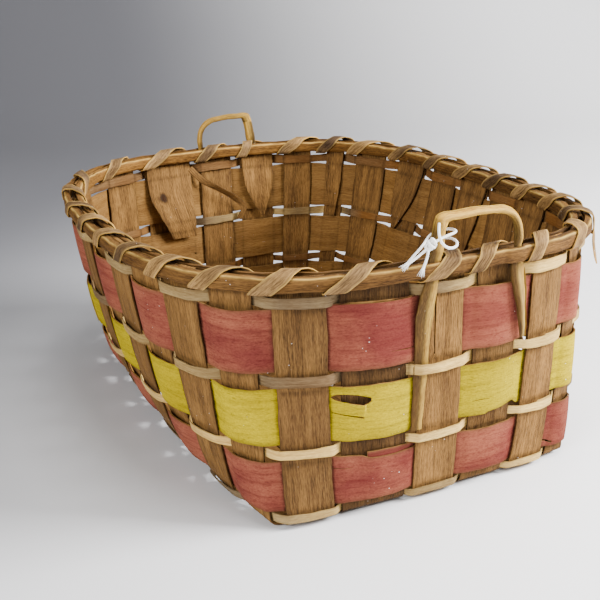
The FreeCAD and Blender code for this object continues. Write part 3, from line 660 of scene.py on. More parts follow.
def open_slits(height, way, slits):
    """Moves two lines of a row's grid onto each slit's lips, and returns which cells lie between them.
    A slit is a list of places along the near wall: Y, the lower lip's height and the upper lip's."""
    gone = np.zeros((height.shape[0] - 1, height.shape[1] - 1), bool)
    for slit in slits:
        keys = np.array(slit) * MM
        past = along_front(way, keys[0, 0])
        run = np.array([way_at("front", y) for y in keys[:, 0]])
        run = past_round(run, run[0])
        low, high = np.interp(past, run, keys[:, 1]), np.interp(past, run, keys[:, 2])
        near = np.flatnonzero((past > -EASE) & (past < run[-1] + EASE))
        middle = near[len(near) // 2]
        cell = height[middle, 1] - height[middle, 0]
        cells = max(1, round(float((keys[:, 2] - keys[:, 1]).max()) / cell))
        first = int(np.argmin(np.abs(height[middle] - keys[:, 1].mean())))
        first = min(first, height.shape[1] - 2 - cells)
        last = first + cells
        columns = np.arange(height.shape[1])
        for i in near:
            fade = np.clip(min(past[i] + EASE, run[-1] + EASE - past[i]) / EASE, 0, 1)
            moves = (0, (low[i] - height[i, first]) * fade, (high[i] - height[i, last]) * fade, 0)
            height[i] += np.interp(columns, (first - 3, first, last, last + 3), moves)
        inside = (past[:-1] >= 0) & (past[1:] <= run[-1])
        gone[inside, first:last] = True
    return gone


# How much each edge of a narrow row is trimmed.
SLIMMER = {
    "weaver_narrow_base": 0.8 * MM,
    "weaver_narrow_low": 1.5 * MM,
    "weaver_narrow_middle": 1.1 * MM,
    "weaver_narrow_top": 0.8 * MM,
}


def weave_row(name, start, overlap, bulge, columns, finishes, begin=0.0, slits=(), chip=None, push=None):
    """One row round the wall from the upright start, with its ends overlapping by overlap."""
    row = row_names.index(name)
    narrow = row % 2 == 0
    first = stops[start].way + begin
    way = np.linspace(first, first + ROUND + overlap, int((ROUND + overlap) / (1.6 * MM)) + 1)
    at = way - first
    slimmer = SLIMMER.get(name, 0.0)
    low = row_low[row] + slimmer + 0.4 * MM * waver(at, name + "low")
    high = row_high[row] - slimmer + 0.4 * MM * waver(at, name + "high")
    under = np.clip((overlap + 2 * MM - at) / (6 * MM), 0, 1)
    over = np.clip((at - ROUND + 4 * MM) / (6 * MM), 0, 1)
    if not narrow:
        high = high + under * 1.2 * MM - over * 2.6 * MM
    if chip is not None:
        low = low + chip(way)
    v = np.linspace(0, 1, columns + 1)[None]
    height = low[:, None] * (1 - v) + high[:, None] * v
    gone = open_slits(height, way, slits)
    out = row_out(narrow, bulge)(way) + 0.55 * MM * (over - under)
    cup = (0.1 if narrow else 0.4) * MM * (1 - (2 * v - 1) ** 2)
    facing = np.clip(out / (1.5 * MM), -0.6, 1)[:, None]
    out = out[:, None] + cup * facing + 0.15 * MM * waver(at, name + "swell")[:, None]
    if push is not None:
        out = out + push(way[:, None], height)
    grid = wall(way[:, None], height, out)
    across = height - (low + high)[:, None] / 2
    tone = row_tone(name, way) + 0.12 * waver(at, name + "tone", 0.2, 0.03)
    # Dirt and painted shade: each row darkens where it passes under an upright's edge.
    crossing = crossing_marks(way, narrow)
    marks = {"edge": np.abs(2 * v - 1), "crossing": crossing[:, None], "tone": tone[:, None]}
    return bend_splint(name + "_splint", grid, at, across, marks, finishes, gone)


# Colour swabbed on with a rag: thin enough to show the grain, rubbed off ridges and edges, scratched.
swab, given, result = new_group(
    "swabbed_colour", {"Color": "NodeSocketColor", "Cover": "NodeSocketFloat"},
    Place=None, Wood=(0.5, 0.35, 0.2, 1), Colour=(0.5, 0.1, 0.05, 1), Deep=(0.3, 0.05, 0.03, 1),
    Pale=(0.7, 0.3, 0.2, 1), Wear=0.5)
add = nodes_of(swab)
place = given["Place"]
cloud = streaks(add, place, 17, 24, 5.0, 2.2, 0.34, 0.66)
speckle = streaks(add, place, 620, 900, 3.0, 17.3, 0.35, 0.65)
drag = streaks(add, place, 24, 300, 5.0, 4.6, 0.42, 0.74)
fleck = streaks(add, place, 260, 800, 2.0, 14.2, 0.56, 0.66)
colour = mix(add, times(add, cloud, 0.85), given["Colour"], given["Pale"])
colour = mix(add, times(add, speckle, 0.3), colour, given["Deep"])
toned = mark(add, "tone")
faded = mix(add, 1.0, given["Pale"], (1.15, 1.1, 1.1, 1), "MULTIPLY")
colour = mix(add, clamped(add, times(add, toned, -0.8)), colour, faded)
colour = mix(add, clamped(add, toned), colour, given["Deep"])
colour = mix(add, times(add, drag, 0.5), colour, given["Deep"])
colour = mix(add, times(add, fleck, 0.4), colour, given["Deep"])
ridge = streaks(add, place, 14, 900, 5.0, 8.3, 0.60, 0.76)
rubbed = streaks(add, place, 20, 70, 4.0, 6.4, 0.52, 0.72)
scratch = streaks(add, place, 5, 620, 1.0, 11.9, 0.735, 0.76)
edge_wear = times(add, maths(add, "POWER", mark(add, "edge"), 14.0), 0.75)
bare = times(add, ridge, maths(add, "ADD", times(add, rubbed, 0.8), 0.25))
bare = maths(add, "MAXIMUM", maths(add, "MAXIMUM", bare, scratch), edge_wear)
bare = times(add, bare, given["Wear"])
painted = mix(add, bare, colour, given["Wood"])
swab.links.new(painted, result.inputs["Color"])
swab.links.new(maths(add, "SUBTRACT", 1.0, bare), result.inputs["Cover"])


def swabbed_wood(name, colour, deep, pale, wear):
    """Splint with colour swabbed over its grain."""
    material = bare_wood(name, (0.36, 0.19, 0.075), (0.12, 0.05, 0.018), dirt=0.85, dust=0.9, coarse=0.7)
    tree = material.node_tree
    add = nodes_of(tree)
    groups = {node.node_tree.name: node for node in tree.nodes if node.type == "GROUP"}
    tree.nodes["Principled BSDF"].inputs["Specular IOR Level"].default_value = 0.03
    coat = add("ShaderNodeGroup", node_tree=swab)
    for label, value in (("Colour", colour), ("Deep", deep), ("Pale", pale)):
        coat.inputs[label].default_value = (*value, 1)
    coat.inputs["Wear"].default_value = wear
    tree.links.new(tree.nodes["UV Map"].outputs["UV"], coat.inputs["Place"])
    tree.links.new(groups["ash_grain"].outputs["Color"], coat.inputs["Wood"])
    tree.links.new(coat.outputs["Color"], groups["age_and_dust"].inputs["Color"])
    return material


red_outside = swabbed_wood("red_outside", (0.150, 0.033, 0.025), (0.072, 0.007, 0.008), (0.34, 0.112, 0.060),
                           wear=0.5)
yellow_outside = swabbed_wood("yellow_outside", (0.40, 0.295, 0.0), (0.115, 0.083, 0.004), (0.50, 0.385, 0.0),
                              wear=0.16)
weaver_inside = bare_wood("weaver_inside", (0.285, 0.150, 0.044), (0.11, 0.050, 0.013), dirt=0.3, coarse=0.6)
narrow_wood = bare_wood("narrow_wood", (0.86, 0.60, 0.20), (0.38, 0.22, 0.06), dirt=0.7, coarse=0.35,
                        bump=0.3)
# The torn slot in the yellow row, the tear under its tongue, and the cracks: Y, lower lip and upper lip.
TORN_SLOT = ((-68.5, 80.0, 80.6), (-66, 78.4, 82.2), (-60, 77.2, 82.6), (-54, 76.4, 82.2),
             (-47.5, 75.6, 80.6), (-43.6, 79.0, 79.6))
FLAP_FOOT = ((-69, 70.4, 70.7), (-62, 69.2, 69.8), (-55, 68.0, 68.8), (-48.6, 66.6, 67.6))
YELLOW_CRACK = ((28, 62.0, 62.2), (34, 62.4, 62.9), (41, 62.2, 62.4))
LONG_CRACK = ((-71, 139.6, 139.8), (-58, 140.6, 141.0), (-45, 140.4, 141.2), (-30, 139.9, 140.7),
              (-14, 139.7, 140.0))
LOW_CRACK = ((-34, 108.2, 108.3), (-22, 107.6, 108.2), (-13, 107.8, 107.9))
CORNER_SPLIT = ((84, 16.9, 17.2), (92, 16.2, 17.2), (100, 14.6, 15.8), (107, 12.4, 13.8))
NEAR_CRACK = ((-76, 33.8, 33.9), (-66, 33.1, 33.5), (-56, 33.6, 33.7))
SLITS = {
    "weaver_yellow": (TORN_SLOT, FLAP_FOOT, YELLOW_CRACK),
    "weaver_red_high": (LONG_CRACK, LOW_CRACK),
    "weaver_red_low": (CORNER_SPLIT, NEAR_CRACK),
}


def yellow_chip(way):
    """The yellow row's lower edge is split away to the right of the near wall's middle."""
    past = along_front(way, 38 * MM)
    return 3.4 * MM * np.interp(past / MM, (0, 1.5, 8, 22, 27), (0, 0.35, 0.6, 1.0, 0))


def yellow_flap(way, height):
    """The tongue under the torn slot is bent outwards, most at its free end."""
    past = along_front(way, -69 * MM) / (20.4 * MM)
    tongue = (past > 0) & (past < 1) & (height > 66.5 * MM) & (height < 77 * MM)
    return 2.2 * MM * tongue * np.clip(past, 0, 1) ** 1.5 * np.clip((height - 66 * MM) / (9 * MM), 0.2, 1)


# The upright where each wide row starts, how far past it, its overlap, bulge, outside finish and slot.
WIDE = {
    "weaver_red_low": (1, -6 * MM, 62 * MM, 2.3 * MM, red_outside, "red_weaver"),
    "weaver_yellow": (20, 0.0, 60 * MM, 2.6 * MM, yellow_outside, "yellow_weaver"),
    "weaver_red_high": (18, 0.0, 60 * MM, 2.6 * MM, red_outside, "red_weaver"),
}
for name, (start, begin, overlap, bulge, outside, slot) in WIDE.items():
    chip, push = (yellow_chip, yellow_flap) if name == "weaver_yellow" else (None, None)
    finishes = (outside, weaver_inside)
    splint = weave_row(name, start, overlap, bulge, 26, finishes, begin, SLITS[name], chip, push)
    give_thickness(splint, WEAVER_THICK, 0.22 * MM, inside=1)
    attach(splint, "root")
    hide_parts(name)


def over_stick(way, height):
    """The two middle rows stand off a little where the near handle's long leg runs under them."""
    return 2.3 * MM * np.exp(-((along_front(way, -15 * MM) / (12 * MM)) ** 2)) + 0 * height


# The upright where each narrow row starts, its overlap, bulge, and what pushes it out.
NARROW = {
    "weaver_narrow_base": (17, 60 * MM, 0.9 * MM, None),
    "weaver_narrow_low": (4, 70 * MM, 2.0 * MM, over_stick),
    "weaver_narrow_middle": (4, 70 * MM, 2.0 * MM, over_stick),
    "weaver_narrow_top": (22, 60 * MM, 1.7 * MM, None),
}
for name, (start, overlap, bulge, push) in NARROW.items():
    splint = weave_row(name, start, overlap, bulge, 6, (narrow_wood,), push=push)
    give_thickness(splint, WEAVER_THICK * 0.9, 0.2 * MM)
    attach(splint, "root")
    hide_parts(name)


# A thin splint that broke and sprang out of the back wall hangs twisted across the inside: Y, height, out
# from the wall in millimetres, and its twist in degrees.
SPRUNG = ((-19, 144, -3, 0), (-9, 133, -6, 10), (9, 121.5, -9, 42), (24, 111, -8, 30), (32, 102, -6.5, 0),
          (27, 91, -4, -20))
SPRUNG_HALF = 3.0 * MM
middle = np.array([wall(way_at("back", y * MM), z * MM, out * MM) for y, z, out, _ in SPRUNG])
deeper = np.array([wall(way_at("back", y * MM), z * MM, (out + 1) * MM) for y, z, out, _ in SPRUNG])
outward = unit(deeper - middle)
flat_way = np.cross(outward, unit(np.gradient(middle, axis=0)))
twist = np.radians([angle for *_, angle in SPRUNG])[:, None]
reach = SPRUNG_HALF * (flat_way * np.cos(twist) + outward * np.sin(twist))
lines, at = smooth_through(np.stack((middle - reach, middle, middle + reach), axis=1), 1.5 * MM)
v = np.linspace(0, 1, 5)[None, :, None]
grid = lines[:, :1] * (1 - v) + lines[:, 2:] * v
across = np.linspace(-SPRUNG_HALF, SPRUNG_HALF, 5)[None]
marks = {"edge": np.abs(across) / SPRUNG_HALF, "crossing": 0, "tone": 0.1}
sprung = bend_splint("sprung_splint", grid, at, across, marks, (upright_wood, dark_edge))
give_thickness(sprung, WEAVER_THICK * 0.9, 0.2 * MM)
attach(sprung, "root")

# ---------------------------------------------------------------- the rim hoops
# Two half-round ash hoops, whittled flat on the side that clamps the uprights' ends between them.  Each is
# one strip bent round while wet, its two ends shaved to long wedges that lie on each other.
HOOP_THICK = 5 * MM
HOOP_OUT, HOOP_IN = 1.6 * MM, -3.0 * MM  # their flat faces from the wall's middle
LAPPED = 75 * MM
# Each handle's side, its long leg's Y and its span; the outer hoop is notched where the legs pass.
HANDLE_PLACES = {"handle_front": ("front", -7.5 * MM, 62 * MM), "handle_back": ("back", 46 * MM, 53 * MM)}
NOTCH_HALF = 7 * MM
leg_ways = []
for side, leg_y, span in HANDLE_PLACES.values():
    sign = 1 if side == "front" else -1
    leg_ways += [way_at(side, leg_y), way_at(side, leg_y + sign * (span - 4 * MM))]
hoop_wood = bare_wood("hoop_wood", (0.205, 0.10, 0.027), (0.026, 0.010, 0.003), dirt=0.5, coarse=0.9,
                      bump=0.6)


def close_tube(bar):
    """Joins the long edges of a grid that was folded into a tube, and closes its ends."""
    bpy.context.view_layer.objects.active = bar
    bpy.ops.object.mode_set(mode="EDIT")
    bpy.ops.mesh.select_all(action="SELECT")
    bpy.ops.mesh.remove_doubles(threshold=0.001 * MM)
    bpy.ops.mesh.select_all(action="SELECT")
    bpy.ops.mesh.fill_holes(sides=0)
    bpy.ops.mesh.select_all(action="SELECT")
    bpy.ops.mesh.normals_make_consistent(inside=False)
    bpy.ops.object.mode_set(mode="OBJECT")
    bpy.ops.object.shade_smooth_by_angle(angle=math.radians(42))


def rounded(angle, squareness):
    """The two coordinates of a rounded square's outline."""
    c, s = np.cos(angle), np.sin(angle)
    return np.sign(c) * np.abs(c) ** (2 / squareness), np.sign(s) * np.abs(s) ** (2 / squareness)


for name, face, sign, start in (("hoop_outer", HOOP_OUT, 1, 13), ("hoop_inner", HOOP_IN, -1, 19)):
    first = stops[start].way
    way = np.linspace(first, first + ROUND + LAPPED, 640)
    at = way - first
    angle = np.linspace(-np.pi / 2, np.pi / 2, 15)
    bulge, level = rounded(angle, 3.6)
    back = np.linspace(1, -1, 5)[1:]
    bulge, level = np.append(bulge, 0 * back), np.append(level, back)
    thick_from = np.clip((at - ROUND) / LAPPED, 0, 0.93)[:, None]
    thick_to = np.clip(at / LAPPED, 0.07, 1)[:, None]
    share = thick_from + bulge * (thick_to - thick_from)
    notch = np.zeros_like(way)
    if sign > 0:
        for leg in leg_ways:
            inside_notch = NOTCH_HALF - np.abs(past_round(way, leg))
            notch = np.maximum(notch, np.clip(inside_notch / (2 * MM), 0, 1))
    inner = (notch * 3.8 * MM)[:, None]
    outer = (HOOP_THICK + notch * 0.7 * MM + 0.3 * MM * waver(at, name + "thick", 0.1, 0.02))[:, None]
    whittled = 0.12 * MM * waver(at, name + "cut", 0.03, 0.004)[:, None] * bulge
    out = face + sign * (inner + share * (outer - inner) + whittled)
    middle = (rim_low + rim_high) / 2 + 0.25 * MM * waver(at, name + "middle", 0.2, 0.03)
    tall = (rim_high - rim_low) / 2 - 0.2 * MM + 0.3 * MM * waver(at, name + "tall", 0.07, 0.012)
    height = middle[:, None] + tall[:, None] * level
    grid = wall(way[:, None], height, out)
    girth = np.cumsum(np.append(0, np.hypot(np.diff(bulge) * HOOP_THICK, np.diff(level) * 5 * MM)))
    # A painted highlight along the top shoulder, lightened to gold, and painted shade on the flat face that
    # clamps the uprights; the tone makes the hoops paler towards the back.
    shoulder_highlight = np.append(np.exp(-(((angle - 0.86) / 0.20) ** 2)), 0 * back)
    flat_face_shade = np.clip(1 - 3.2 * bulge, 0, 1)
    tone_mark = np.interp(mouth(way)[:, :1], (-0.19, 0.02), (-0.7, 0.0))
    marks = {"edge": 0, "crossing": flat_face_shade, "rubbed": shoulder_highlight, "tone": tone_mark}
    bar = bend_splint(name + "_bar", grid, at, girth, marks, (hoop_wood,))
    close_tube(bar)
    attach(bar, "root")
    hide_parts(name)

# ---------------------------------------------------------------- the handles
# Each handle is carved and bent from one stick: a square corner on the long leg, a bend on the short one, and
# a ridge along the grip.  Both legs are shaved flat where they pass under the outer hoop.
GRIP_OUT = 1.5 * MM  # a handle's inner face from the wall's middle
LONG_LEG = 98 * MM  # each handle's foot to the hoops' underside
TO_LEG = 11 * MM  # its left edge to the long leg's middle
RISE = 38.5  # the grip over the hoops' underside, in millimetres
handle_wood = bare_wood("handle_wood", (0.80, 0.50, 0.085), (0.26, 0.12, 0.018), dirt=0.7, dust=0.3,
                        coarse=0.6, bump=0.3, gloss=0.14)


def handle_lines(span):
    """The handle's outer, middle and inner lines in its own plane, from the long leg's foot to the short
    one's tip.  Each row of numbers is an outer and an inner place, in millimetres."""
    right, low, high = span / MM + 11, 98, 98 + RISE
    long_leg = ((0.6, 0, 8.4, 0), (1.8, 40, 11.2, 40), (4.0, 88, 14.4, 88), (7.0, 98, 15.6, 98),
                (8.7, 113, 17.0, 112))
    corner = ((11.2, -9, 18.8, -9), (12.3, -4.6, 19.6, -6.6), (13.4, -1.3, 20.4, -5.6),
              (16.4, -0.1, 21.8, -5.1), (24.5, 0, 26, -5.0))
    grip = ((-31, 0.3, -31, -4.5), (-21, -0.6, -20, -5.2))
    bend = np.radians((74, 56, 38, 20, 4))[:, None]
    outer_bend = np.hstack((np.cos(bend), np.sin(bend))) * 18.4 + (right - 18, high - 19.3)
    inner_bend = np.hstack((np.cos(bend), np.sin(bend))) * 13.7 + (right - 18, high - 19.3)
    short_leg = ((0.4, 6, -5.0, 6), (3.8, -5, -6.4, -5), (4.7, -14, -4.6, -14), (5.8, -26, -2.0, -26),
                 (7.1, -40, 1.3, -40), (8.1, -50, 3.7, -50))
    pairs = np.vstack((long_leg, np.add(corner, (0, high, 0, high)), np.add(grip, (right, high, right, high)),
                       np.hstack((outer_bend, inner_bend)), np.add(short_leg, (right, low, right, low))))
    outer, inner = pairs[:, :2], pairs[:, 2:]
    keys = np.stack((outer, (outer + inner) / 2, inner), axis=1) * MM
    return np.concatenate((keys, np.zeros((*keys.shape[:2], 1))), axis=2)


def bend_handle(name, side, leg_y, span, slope):
    """One handle, from where its long leg stands, how wide it is, and how its grip slopes."""
    turn_sign = 1 if side == "front" else -1

    def on_wall(y, lean):
        way = way_at(side, y)
        outward = unit(np.array(SIDE_FACING[side]) * (1 - lean) + mouth_normal(way) * lean)
        foot_line = np.array((HALF_LENGTH * turn_sign, y))
        return foot_line * (1 - lean) + mouth(way) * lean + outward * GRIP_OUT

    foot = np.append(on_wall(leg_y, 1), rim_low)
    far = np.append(on_wall(leg_y + turn_sign * span, 1), rim_low)
    below = np.append(on_wall(leg_y, ((rim_low - 50 * MM) / rim_low) ** FLARE), rim_low - 50 * MM)
    along = unit(far - foot)
    outward = unit(np.cross(along, foot - below))
    up = np.cross(outward, along)
    corner = foot - along * TO_LEG - up * LONG_LEG
    lines, at = smooth_through(handle_lines(span), 1.1 * MM)
    outer, centre, inner = lines[:, 0, :2], lines[:, 1, :2], lines[:, 2, :2]
    half = (outer - inner) / 2
    height = centre[:, 1] / MM
    is_long_leg = at < at[-1] / 2

    def along_legs(long_leg, short_leg):
        """A value at each height, from each leg's heights and values."""
        return np.where(is_long_leg, np.interp(height, *long_leg), np.interp(height, *short_leg))

    low_face = along_legs(((0, 58, 78, 109, 113), (-0.4, 0.0, 1.4, 1.4, 0.0)),
                          ((48, 58, 82, 92, 109, 113), (2.2, 2.6, 2.7, 1.5, 1.4, 0.0)))
    high_face = along_legs(((0, 52, 72, 86, 109, 114), (0.9, 1.1, 1.7, 3.4, 3.7, 5.2)),
                           ((48, 56, 74, 88, 98, 109, 114), (3.0, 5.0, 5.9, 4.8, 3.7, 3.7, 5.2)))
    ridge = along_legs(((0, 80, 112, 125), (0, 0, 0, 1)),
                       ((48, 60, 90, 97, 112, 125), (0.8, 1, 1, 0.1, 0.1, 1)))
    angle = np.linspace(0, 2 * np.pi, 25)
    across, deep = rounded(angle, 4.2)
    slant = 2.1 * ridge[:, None] * np.clip((across - 0.05) / 0.95, 0, 1) * (deep > 0)
    thick = (high_face - low_face)[:, None]
    depth = (low_face[:, None] + thick * (deep + 1) / 2 - slant * (deep > 0)) * MM
    uneven = 1 + 0.06 * waver(at, name, 0.05, 0.008)[:, None]
    flat = centre[:, None] + half[:, None] * (across * uneven)[..., None]
    flat[..., 1] += slope * np.clip(flat[..., 0] - 20 * MM, 0, 1) * (flat[..., 1] > LONG_LEG + 5 * MM)
    grid = corner + flat[..., :1] * along + flat[..., 1:] * up + depth[..., None] * outward
    girth = np.cumsum(np.append(0, np.hypot(np.diff(across) * 3.4, np.diff(deep) * 2.5))) * MM
    # A painted highlight along the ridge, carried by the rubbed mark.
    shine = np.exp(-(((across - 0.05) / 0.22) ** 2)) * (deep > 0) * ridge[:, None]
    grip_tone = 0.0 if turn_sign > 0 else 0.45
    # The legs are darker than the grip, partly painted shade under the lit grip; each leg's shaded side is
    # darker and its lit side paler, painted shade and painted light.
    tone_mark = np.interp(height, (0, 90, 104, 126, 133), (0.9, 0.85, 0.8, 0.4, grip_tone))[:, None]
    legs = np.clip((137 - height) / 9, 0, 1)
    shaded_side = np.where(is_long_leg[:, None], across, -across)
    lit_and_shaded_sides = legs[:, None] * np.clip((shaded_side + 0.15) / 0.4, -1, 1)
    tone_mark = tone_mark + 0.4 * lit_and_shaded_sides
    # Painted shade: darker on the face towards the wall, along the edge facing the handle's opening, and on
    # each leg's shaded side; the grip's upper facet is darker too.
    grime_and_shade = np.maximum(0.5 * np.clip(-deep, 0, 1) + 1.5 * np.clip(-across - 0.7, 0, 0.3), 0.85 * lit_and_shaded_sides)
    grime_and_shade = grime_and_shade + 0.5 * (1 - legs[:, None]) * np.clip((across - 0.45) / 0.4, 0, 1)
    marks = {"edge": 0, "crossing": grime_and_shade, "rubbed": 0.9 * shine, "tone": tone_mark}
    stick = bend_splint(name + "_stick", grid, at, girth, marks, (handle_wood,))
    close_tube(stick)
    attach(stick, "root")
    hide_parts(name)


for name, (side, leg_y, span) in HANDLE_PLACES.items():
    bend_handle(name, side, leg_y, span, 0.0 if side == "front" else -0.02)

# ---------------------------------------------------------------- the lashing
# One long thin splint winds round both hoops, once in each gap between the uprights.  It passes through the
# gap under the hoops, and crosses them on the slant; its loose end hangs at the near wall's right corner.
LASH_THICK = 0.7 * MM
LASH_WIDTH = 9 * MM
FIRST_GAP = 5
rim_face = np.array((  # out and height over the hoops' middle
    (0, -5.9), (5.0, -5.7), (6.7, -5.1), (7.2, -3.6), (7.2, 3.4), (6.6, 5.0), (4.6, 6.1), (-0.7, 6.9),
    (-6.0, 6.1), (-8.0, 5.0), (-8.6, 3.4), (-8.6, -3.6), (-8.1, -5.1), (-6.4, -5.7), (0, -5.9))) * MM
girth_at = np.append(0, np.cumsum(np.linalg.norm(np.diff(rim_face, axis=0), axis=1)))
GIRTH = girth_at[-1]
OUTSIDE_TOP = girth_at[5]
HANGING = girth_at[3]
# How much of the way to the next gap each wrap has gone when it leaves the gap, and when it turns over the
# top; the others are chance.
STARTS = {1: 0.15}
SLANTS = {0: 0.26, 1: 0.56, 2: 0.16, 3: 0.12, 4: 0.22, 15: 0.62, 22: 0.2, 23: 0.16, 24: 0.2, 25: 0.24,
          26: 0.3, 27: 0.3}
lashing_wood = bare_wood("lashing_wood", (0.44, 0.26, 0.095), (0.040, 0.017, 0.0055), dirt=0.5, coarse=0.8,
                         bump=0.5, gloss=0.06)
# The lashing's cut edges are a lighter gold: raw wood and a painted highlight.
cut_edge = bare_wood("cut_edge", (0.60, 0.32, 0.07), (0.22, 0.095, 0.018), dirt=0.5, dust=0.2, coarse=0.4,
                     bump=0.3)


def gap_way(number):
    """The middle of the gap after an upright."""
    here, after = stops[number % 28], stops[(number + 1) % 28]
    start = here.way + here.half
    return start + ((after.way - after.half - start) % ROUND) / 2


dice = random.Random("lashing")
wound = gap_way(FIRST_GAP)
unrolled = [(wound - 7.5 * MM, HANGING - 20 * MM), (wound - 6.5 * MM, HANGING - 12 * MM),
            (wound - 4 * MM, HANGING - 4 * MM)]  # the middle line: way round, girth
half_up = (girth_at[3] + girth_at[4]) / 2
up_outside = (girth_at[1], girth_at[2], girth_at[3], half_up, girth_at[4], OUTSIDE_TOP)
for gap in range(FIRST_GAP, FIRST_GAP + 28):
    pitch = (gap_way(gap + 1) - gap_way(gap)) % ROUND
    slant = SLANTS.get(gap % 28, dice.uniform(0.14, 0.34))
    top = slant + (0.93 - slant) * dice.uniform(0.4, 0.55)
    start = STARTS.get(gap % 28, -0.05)
    wrap = [(girth, start + (slant - start) * (girth - girth_at[1]) / (OUTSIDE_TOP - girth_at[1]))
            for girth in up_outside]
    wrap += [(girth_at[7], slant + (top - slant) * 0.5), (girth_at[9], top), (girth_at[12], 0.91),
             (girth_at[13], 0.94)]
    base = (gap - FIRST_GAP) * GIRTH
    unrolled += [(wound + pitch * share, base + girth) for girth, share in wrap]
    wound += pitch
unrolled = np.column_stack((unrolled, np.zeros(len(unrolled))))[:, None].repeat(3, axis=1)
centre, at = smooth_through(unrolled, 1.3 * MM)
centre = centre[:, 1, :2]
heading = unit(np.gradient(centre, axis=0))
sideways = np.stack((heading[:, 1], -heading[:, 0]), axis=-1)
under = np.abs(np.mod(centre[:, 1] + GIRTH / 2, GIRTH) - GIRTH / 2)
loose = centre[:, 1] < girth_at[2]
half = LASH_WIDTH / 2 * (1 + 0.07 * waver(at, "lashing", 0.15, 0.03))
half = half * np.where(loose, np.interp(at, (0, 5 * MM, 14 * MM, 22 * MM), (0.12, 0.55, 0.85, 0.8)),
                       np.interp(under, (0, 3.5 * MM, 6.5 * MM), (0.6, 0.75, 1.0)))
v = np.linspace(-1, 1, 7)
spread = centre[:, None] + sideways[:, None] * (half[:, None] * v)[..., None]
around = np.mod(spread[..., 1], GIRTH)
lift = (0.12 + 0.15 * waver(at, "lift", 0.06, 0.03))[:, None] * MM * (1 - v * v) + 0.35 * MM
slack = (0.7 + 0.5 * waver(at, "slack", 0.2, 0.05))[:, None]
over_top = np.clip(np.interp(around, girth_at[[4, 7, 10]], (0, 1, 0)) * slack, 0, 2)
outward = np.interp(around, girth_at[[0, 2, 3, 4, 6, 8, 10, 11, 12, 14]],
                    (0, 0.5, 1, 1, 0.3, -0.3, -1, -1, -0.5, 0))
upward = np.interp(around, girth_at[[0, 3, 4, 6, 8, 10, 11, 14]], (-1, 0, 0, 1, 1, 0, 0, -1))
out = np.interp(around, girth_at, rim_face[:, 0]) + lift * outward
height = np.interp(around, girth_at, rim_face[:, 1]) + (rim_low + rim_high) / 2
height = height + over_top * 1.3 * MM + lift * upward
hang = HANGING - spread[..., 1]
hung = np.clip(hang, 0, 1)
out = np.where(loose[:, None], 7.3 * MM + 0.09 * hung + 6 * hung**2 + lift, out)
height = np.where(loose[:, None], rim_low + 2.6 * MM - hang, height)
grid = wall(spread[..., 0], height, out)
# Painted shade where the wrap passes under the hoops between the uprights; its edges are lightened to gold,
# wear and painted highlight.
tucked = np.clip(1 - under / (7 * MM), 0, 1)[:, None]
worn_and_highlit_edges = 0.6 * np.abs(v) ** 12 * (1 - tucked)
ageing = np.clip(0.35 + 0.45 * waver(at, "lashing age", 0.19, 0.06), -0.1, 0.9)[:, None]
marks = {"edge": 0, "crossing": 0.9 * tucked, "rubbed": worn_and_highlit_edges, "tone": ageing}
winding = bend_splint("rim_lashing_splint", grid, at, half[:, None] * v, marks, (lashing_wood, cut_edge))
give_thickness(winding, LASH_THICK, 0.2 * MM)
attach(winding, "root")
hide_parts("rim_lashing")

# ---------------------------------------------------------------- the tie
# A thin white cotton string, knotted round the near handle's long leg in a tight loop and a loose one.  Its
# cut ends have come apart into soft tufts.
STRING = 1.5 * MM
UPPER_STRING = (  # in millimetres, as are the lower loop's places
    (207.4, -27.0, 162.6), (208.2, -22.6, 165.2), (209.0, -18.0, 168.4), (209.5, -13.4, 171.8),
    (209.6, -8.6, 174.6), (209.4, -3.4, 176.0), (208.9, 1.6, 176.8), (207.9, 4.7, 177.1),
    (205.3, 6.6, 177.2), (202.0, 6.6, 177.2), (199.4, 4.7, 177.1), (198.3, 1.6, 176.8),
    (198.4, -2.6, 176.2), (200.0, -8.2, 174.8), (203.2, -12.8, 172.2),
    (204.4, -17.2, 169.0), (204.2, -21.2, 165.6), (203.8, -24.4, 162.0),
)
LOWER_STRING = (
    (206.8, -5.6, 183.4), (209.4, -7.6, 180.2), (212.0, -8.4, 176.4), (212.9, -6.6, 172.2),
    (212.4, -1.6, 169.4), (210.4, 4.2, 169.4), (205.4, 7.6, 170.8), (199.8, 5.6, 172.0),
    (197.6, -0.4, 171.6), (199.4, -6.4, 170.4), (203.8, -10.6, 169.0), (208.0, -13.6, 166.8),
    (210.4, -16.4, 163.4), (210.8, -18.6, 159.4),
)
cotton, tree, shader, add = new_finish("cotton")
place = add("ShaderNodeTexCoord").outputs["Object"]
fluff = add("ShaderNodeTexNoise", {"Vector": place, "Scale": 1500.0, "Detail": 3.0}).outputs["Fac"]
soil = add("ShaderNodeTexNoise", {"Vector": place, "Scale": 160.0, "Detail": 3.0}).outputs["Fac"]
soil = ramp(add, soil, 0.5, 0.8, 0.0, 0.6)
shade = mix(add, soil, (0.90, 0.885, 0.85, 1), (0.66, 0.62, 0.55, 1))
tree.links.new(shade, shader.inputs["Base Color"])
bumped = add("ShaderNodeBump", {"Height": fluff, "Strength": 0.5, "Distance": 0.15 * MM})
tree.links.new(bumped.outputs["Normal"], shader.inputs["Normal"])
shader.inputs["Roughness"].default_value = 0.85
shader.inputs["Sheen Weight"].default_value = 0.3


def route_points(curve):
    """The places along a curve's own spline, without its thickness."""
    bare = curve.copy()
    bare.data = curve.data.copy()
    bare.data.bevel_depth = 0
    bpy.context.collection.objects.link(bare)
    bpy.context.view_layer.update()
    mesh = bpy.data.meshes.new_from_object(bare.evaluated_get(bpy.context.evaluated_depsgraph_get()))
    points = np.array([v.co for v in mesh.vertices])
    bpy.data.objects.remove(bare)
    return points


